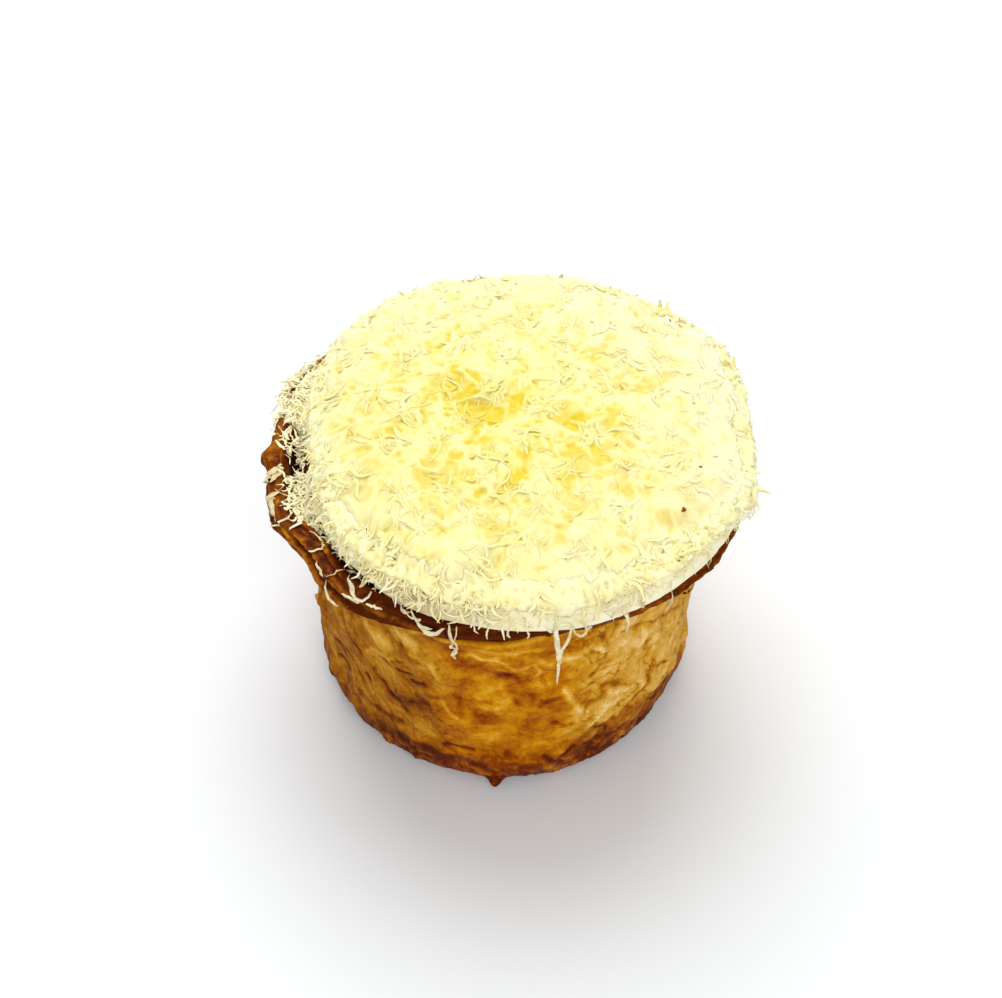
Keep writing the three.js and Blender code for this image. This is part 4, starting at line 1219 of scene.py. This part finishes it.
def shoulder_shreds(name, draw, degrees, along, turned, length, width, rise):
    """Shreds over the heap's shoulder and on down over the cream's. They point outwards and
    down, give or take `turned` degrees, and rise from the surface by a share of their length."""
    count = len(degrees)
    radius, z, across, up_share = shoulder(degrees, along)
    lift = draw.uniform(0, 0.5, count)
    x, y = polar(degrees, radius + lift * across)
    middle = np.stack([x + TOPPING_CENTRE[0], y + TOPPING_CENTRE[1], z + lift * up_share], 1)
    up = np.stack([*polar(degrees, across), up_share], 1)
    heading = lying(degrees + draw.normal(0, turned, count), up, draw.normal(rise, 0.15, count))
    paths = curved_paths(draw, middle, heading, up, length, (0.8, 2.0), (-0.5, 0.5, 1.0), 6)
    low = smooth(along, 1.5, 4.5)
    values = {
        "shade": draw.uniform(0, 1, count),
        "pale": np.clip(draw.normal(0.5, 0.15, count) + 0.2 * low, 0, 1),
        "tone_and_hollow_shade": np.clip(draw.normal(0.1, 0.15, count) * (1 - low), 0, 1),
    }
    twist = draw.normal(0, (0.5, 0.6), (count, 2))
    widths, thickness = draw.uniform(*width, count), draw.uniform(0.1, 0.2, count)
    return strands_mesh(name, paths, up, widths, thickness, twist, values)


def through(points, steps):
    """A smooth path of so many steps through a few points."""
    points = np.asarray(points, dtype=float)
    padded = np.vstack([2 * points[0] - points[1], points, 2 * points[-1] - points[-2]])
    at = np.linspace(0, len(points) - 1, steps)
    first = np.minimum(at.astype(int), len(points) - 2)
    t = (at - first)[:, None]
    a, b, c, d = (padded[first + k] for k in range(4))
    return 0.5 * (2 * b + (c - a) * t + (2 * a - 5 * b + 4 * c - d) * t**2 + (3 * b - a - 3 * c + d) * t**3)


def placed_shreds(name, draw, widths, paths, ups, pale):
    """Shreds along given paths, broken by small kinks."""
    count, widths = len(paths), np.array(widths)
    paths = np.array(paths) + draw.normal(0, 0.06, (count, len(paths[0]), 3))
    flat = widths > FLAKE_WIDTH
    values = {
        "shade": draw.uniform(0.3, 1, count) * np.where(flat, 0.4, 1),
        "pale": np.clip(draw.normal(pale, 0.1, count), 0, 1),
        "tone_and_hollow_shade": np.zeros(count),
    }
    twist = draw.normal(0, (0.4, 1.2), (count, 2)) * np.where(flat, 0.3, 1)[:, None]
    thickness = np.clip(0.35 * widths, 0.15, 0.3)
    return strands_mesh(name, paths, np.array(ups), widths, thickness, twist, values)


def hanging_shreds(draw):
    paths, ups, widths = [], [], []
    for width, marks in HANGING:
        degrees, z = through(marks, 14).T
        clear = 0.75 + 0.5 * smooth(62 - z, 0, 2)
        x, y = polar(degrees, CREAM_RADIUS + reach_of(CREAM_LOBES, degrees) + clear)
        paths.append(np.stack([x + TOPPING_CENTRE[0], y + TOPPING_CENTRE[1], z], 1))
        ux, uy = polar(np.mean(degrees), 1.0)
        ups.append((ux, uy, 0.2))
        widths.append(width)
    return placed_shreds("hanging_shreds", draw, widths, paths, ups, 0.75)


def crown_place(degrees, share):
    """Points of the crown and its outward directions, at shares from its inside to the crease."""
    grid = np.stack(CROWN[:3], 2)
    rows, columns = grid.shape[:2]
    column = np.round(np.asarray(degrees) / 360 * columns).astype(int)
    row = np.clip(np.round(np.asarray(share) * (rows - 1)).astype(int), 4, rows - 5)
    across = grid[row + 4, column % columns] - grid[row - 4, column % columns]
    around = grid[row, (column + 4) % columns] - grid[row, (column - 4) % columns]
    return grid[row, column % columns], unit(np.cross(across, around))


def fallen_shreds(draw):
    """Shreds and flat flakes of cheese that lie on the crown's left side, thick at the back."""
    paths, ups, widths = [], [], []
    for width, marks in FALLEN:
        spots, out = crown_place(*through(marks, 9).T)
        paths.append(spots + 0.35 * unit(out.mean(0)))
        ups.append(unit(out.mean(0)))
        widths.append(width)
    marked = placed_shreds("fallen_flakes", draw, widths, paths, ups, 0.8)
    at = np.concatenate([draw.normal(mean, spread, count) for mean, spread, _, _, count in FALLEN_BANKS])
    share = np.concatenate([draw.normal(mean, spread, count) for _, _, mean, spread, count in FALLEN_BANKS])
    share = np.clip(share, 0.1, 0.5)
    count = len(at)
    spots, out = crown_place(at % 360, share)
    out = unit(out + (0, 0, 0.6))
    turned, tilt = draw.uniform(0, 360, count), draw.normal(0, 0.2, count)
    heading = lying(turned, out, draw.normal(0.1, 0.25, count), tilt)
    # At the back they are piled up against the cream.
    piled = lobe(at, 157, 18)
    lift = draw.uniform(0.1, 0.8, count) * (1 + 0.8 * piled) + 0.5 * piled
    lift = lift + 3.2 * draw.uniform(0, 1, count) * piled * (1 - smooth(share, 0.14, 0.34))
    middles = spots + out * lift[:, None]
    loose = curved_paths(draw, middles, heading, out, (1.2, 3.8), (0.9, 2.5), (-0.3, 0.6, 1.0), 9)
    return marked, placed_shreds("fallen_shreds", draw, draw.uniform(0.3, 0.8, count), loose, out, 0.8)


def cheese_drift():
    """Packed cheese on the crown's back left, banked up against the cream."""
    degrees = np.linspace(128, 186, 240)[None, :]
    inner, outer = 36.5, CROWN_RADIUS - 0.8 + reach_of(CROWN_LOBES, degrees)
    radius = inner + np.linspace(0, 1, 70)[:, None] * (outer - inner)
    x, y = polar(degrees, radius)
    fluff = rough(x / 1.2, y / 1.2, 0 * x, 195, 3) + 0.7 * noise(x / 3, y / 3, 0 * x, 197)
    against = 1.5 + 4 * (1 - smooth(radius, 37.5, 43.5))
    z = 57.2 - 3.8 * smooth(radius, 45.5, 49.2) - 3 * smooth(radius - outer, -1.4, 0)
    ragged = degrees + 3 * fluff
    ends = smooth(ragged, 165, 175) + 1 - smooth(ragged, 130, 140)
    z = z + lobe(degrees, 157, 17) * against + 0.5 * fluff - 5 * ends
    # Where it ends it stays inside the crown.
    z = np.maximum(z, 53.5 + 1.7 * smooth(radius, 42, 44.5))
    looks = {"shade": 0.7 + 0.3 * fluff, "pale": 0.7 + 0.2 * fluff, "tone_and_hollow_shade": 0 * x}
    points = np.stack([x, y, z], 2).reshape(-1, 3)
    numbers = np.arange(x.size).reshape(x.shape)
    corners = [numbers[:-1, :-1], numbers[1:, :-1], numbers[1:, 1:], numbers[:-1, 1:]]
    quads = np.stack(corners, -1).reshape(-1, 4)
    return mesh_object("drift", points, [quads], {key: np.clip(value, 0, 1) for key, value in looks.items()})


def crumbs(draw):
    """Small irregular brown crumbs, sunk a little into the heap."""
    turns = np.linspace(0, 2 * np.pi, 12, endpoint=False)
    rings = np.linspace(0, np.pi, 9)[1:-1]
    points, faces = [], []
    for at_x, at_y, size in CRUMBS:
        x, y = at_x + TOPPING_CENTRE[0], at_y + TOPPING_CENTRE[1]
        first = sum(len(p) for p in points)
        a, b = np.meshgrid(turns, rings)
        way = np.stack([np.sin(b) * np.cos(a), np.sin(b) * np.sin(a), 0.7 * np.cos(b)], -1).reshape(-1, 3)
        way = np.vstack([way, (0, 0, 0.7), (0, 0, -0.7)])
        reach = size * (1 + 0.5 * rough(*(2 * way + draw.uniform(0, 50, 3)).T, 193, 3))
        ground = float(heap_surface(np.array(x), np.array(y))) + 0.3 + 0.5 * size
        points.append(way * reach[:, None] + (x, y, ground))
        numbers = first + np.arange(len(rings) * len(turns)).reshape(len(rings), -1)
        faces += [ring_faces(numbers[i], numbers[i + 1]) for i in range(len(rings) - 1)]
        last = first + numbers.size
        faces += [ring_faces(np.array([last]), numbers[0]), ring_faces(numbers[-1], np.array([last + 1]))]
    points = np.vstack(points)
    count = len(points)
    looks = {
        "bake": 0.7 + 0.2 * draw.uniform(-1, 1, count),
        "gap": np.full(count, 0.1),
        "glaze": np.full(count, 0.3),
    }
    quads = np.concatenate([f for f in faces if f.shape[1] == 4])
    return mesh_object("crumbs", points, [quads, *(f for f in faces if f.shape[1] == 3)], looks)


def crust_flakes():
    """Thin flakes that curl away from the wall."""
    paths, ups = [], []
    for _, _, marks in CURLED_FLAKES:
        degrees, z, radius = through(marks, 12).T
        paths.append(np.stack([*polar(degrees, radius), z], 1))
        ups.append((*polar(marks[0][0], 0.6), 0.8))
    count = len(paths)
    looks = {"bake": np.full(count, 0.22), "gap": np.zeros(count), "glaze": np.full(count, 0.6)}
    widths = np.array([flake[0] for flake in CURLED_FLAKES])
    twist = np.array([flake[1] for flake in CURLED_FLAKES])
    thickness = np.full(count, 0.3)
    return strands_mesh("crust_flakes", np.array(paths), np.array(ups), widths, thickness, twist, looks)


# ---- Scene --------------------------------------------------------------------------------------


def camera():
    """Looks along +Y from 47 degrees up, as the photograph does."""
    data = bpy.data.cameras.new("camera")
    data.sensor_width = 36
    data.lens = FOCAL / PICTURE_WIDTH * 36
    data.clip_start, data.clip_end = 0.01, 20
    made = bpy.data.objects.new("camera", data)
    made.location = CAMERA_PLACE * MM
    made.rotation_euler = (math.pi / 2 - ELEVATION, 0, 0)
    bpy.context.scene.collection.objects.link(made)
    bpy.context.scene.camera = made


def area_light(name, place, size, watts):
    data = bpy.data.lights.new(name, "AREA")
    data.shape = "DISK"
    data.size = size
    data.energy = watts
    made = bpy.data.objects.new(name, data)
    made.location = place
    made.rotation_euler = (Vector(LIT_PLACE) - Vector(place)).to_track_quat("-Z", "Y").to_euler()
    bpy.context.scene.collection.objects.link(made)


def studio():
    world = bpy.data.worlds.new("soft_light")
    world.use_nodes = True
    background = world.node_tree.nodes["Background"]
    background.inputs["Color"].default_value = (1, 1, 1, 1)
    background.inputs["Strength"].default_value = SKY_STRENGTH
    bpy.context.scene.world = world
    for light in LIGHTS:
        area_light(*light)
    bpy.context.scene.view_settings.view_transform = "Standard"
    bpy.context.scene.view_settings.look = "None"
    # Light bounces many times among pale shreds before it is lost.
    bpy.context.scene.cycles.max_bounces = 16
    bpy.context.scene.cycles.diffuse_bounces = 12
    mesh = bpy.data.meshes.new("floor")
    corners = [(x * FLOOR_HALF, y * FLOOR_HALF, 0) for x, y in ((-1, -1), (1, -1), (1, 1), (-1, 1))]
    mesh.from_pydata(corners, [], [(0, 1, 2, 3)])
    floor = bpy.data.objects.new("floor", mesh)
    bpy.context.scene.collection.objects.link(floor)
    m = Material("floor", Roughness=0.6)
    m.feed("Base Color", FLOOR_GREY)
    mesh.materials.append(m.made)


def put(piece, material, slot, *nodes):
    piece.data.materials.append(material)
    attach(piece, "root")
    for node in nodes:
        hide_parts(node)


draw = np.random.default_rng(SEED)
dough = pastry_material()
cheese, packed = cheese_material("cheese", False), cheese_material("packed_cheese", True)
put(outer_sheet(), dough, "pastry", "pastry")
CROWN = crown_form()
put(grid_object("crown", *CROWN), dough, "pastry", "pastry")
put(cream_layer(), cream_material(), "cream", "cream")
FELT_SPANS = ((-FELT_HALF, FELT_HALF), (-FELT_HALF, FELT_HALF))
FELT, FELT_SHADE = felt_of(draw, FELT_SPANS, FELT_SHREDS, (2.0, 7.5), (0.5, 1.4), heap_lean)
FELT_STANDS = blurred(FELT, 0.6) - blurred(FELT, 3.0)
put(cheese_core(), packed, "cheese", "grated_cheese")
put(cheese_skirt(draw), packed, "cheese", "grated_cheese")
# Name, how many, length, width, how high, how steep, how closely they follow the heap, steps.
HEAP_KINDS = [
    ("broad_shreds", 420, (3.0, 7.5), (0.5, 1.1), (-0.05, 0.12), 0.03, 0.95, 9),
    ("fine_shreds", 420, (2.0, 6.0), (0.22, 0.4), (0.0, 0.2), 0.05, 0.85, 9),
    ("short_bits", 240, (0.8, 2.2), (0.4, 0.9), (-0.05, 0.12), 0.1, 0.9, 4),
]
for name, *rest in HEAP_KINDS:
    put(heap_shreds(name, draw, *rest), cheese, "cheese", "grated_cheese")
thin_cheese = thin_cheese_material("thin_cheese")
# Name, material, how many, where about the topping, where over the shoulder, how far they are
# turned, length, width, how far they rise.
SHOULDER_KINDS = [
    ("ledge", cheese, 800, draw.uniform, (0, 360), (0, 2.4), 75, (2.0, 5.0), (0.45, 1.0), 0.02),
    ("fringe", cheese, 900, draw.uniform, (0, 360), (0, 4.2), 60, (1.0, 3.6), (0.3, 0.7), 0.05),
    ("feathers", cheese, 300, draw.uniform, (186, 262), (1.6, 4.0), 22, (2.5, 5.0), (0.35, 0.8), 0.16),
    ("hairs", thin_cheese, 90, draw.normal, (238, 20), (2.6, 4.3), 45, (1.0, 3.2), (0.14, 0.3), 0.1),
    ("wisps", cheese, 900, draw.uniform, (0, 360), (1.2, 4.2), 50, (1.2, 3.6), (0.14, 0.3), 0.12),
]
places = []
for _, _, count, spread, about, over, *_ in SHOULDER_KINDS:
    places.append((spread(*about, count), draw.uniform(*over, count)))
for (name, material, _, _, _, _, *rest), place in zip(SHOULDER_KINDS, places):
    put(shoulder_shreds(name, draw, *place, *rest), material, "cheese", "grated_cheese")
put(hanging_shreds(draw), thin_cheese, "cheese", "grated_cheese")
for piece, material in zip(fallen_shreds(draw), (thin_cheese, cheese)):
    put(piece, material, "cheese", "pastry")
put(cheese_drift(), packed, "cheese", "pastry")
put(crumbs(draw), dough, "pastry", "grated_cheese")
put(crust_flakes(), dough, "pastry", "pastry")

camera()
studio()
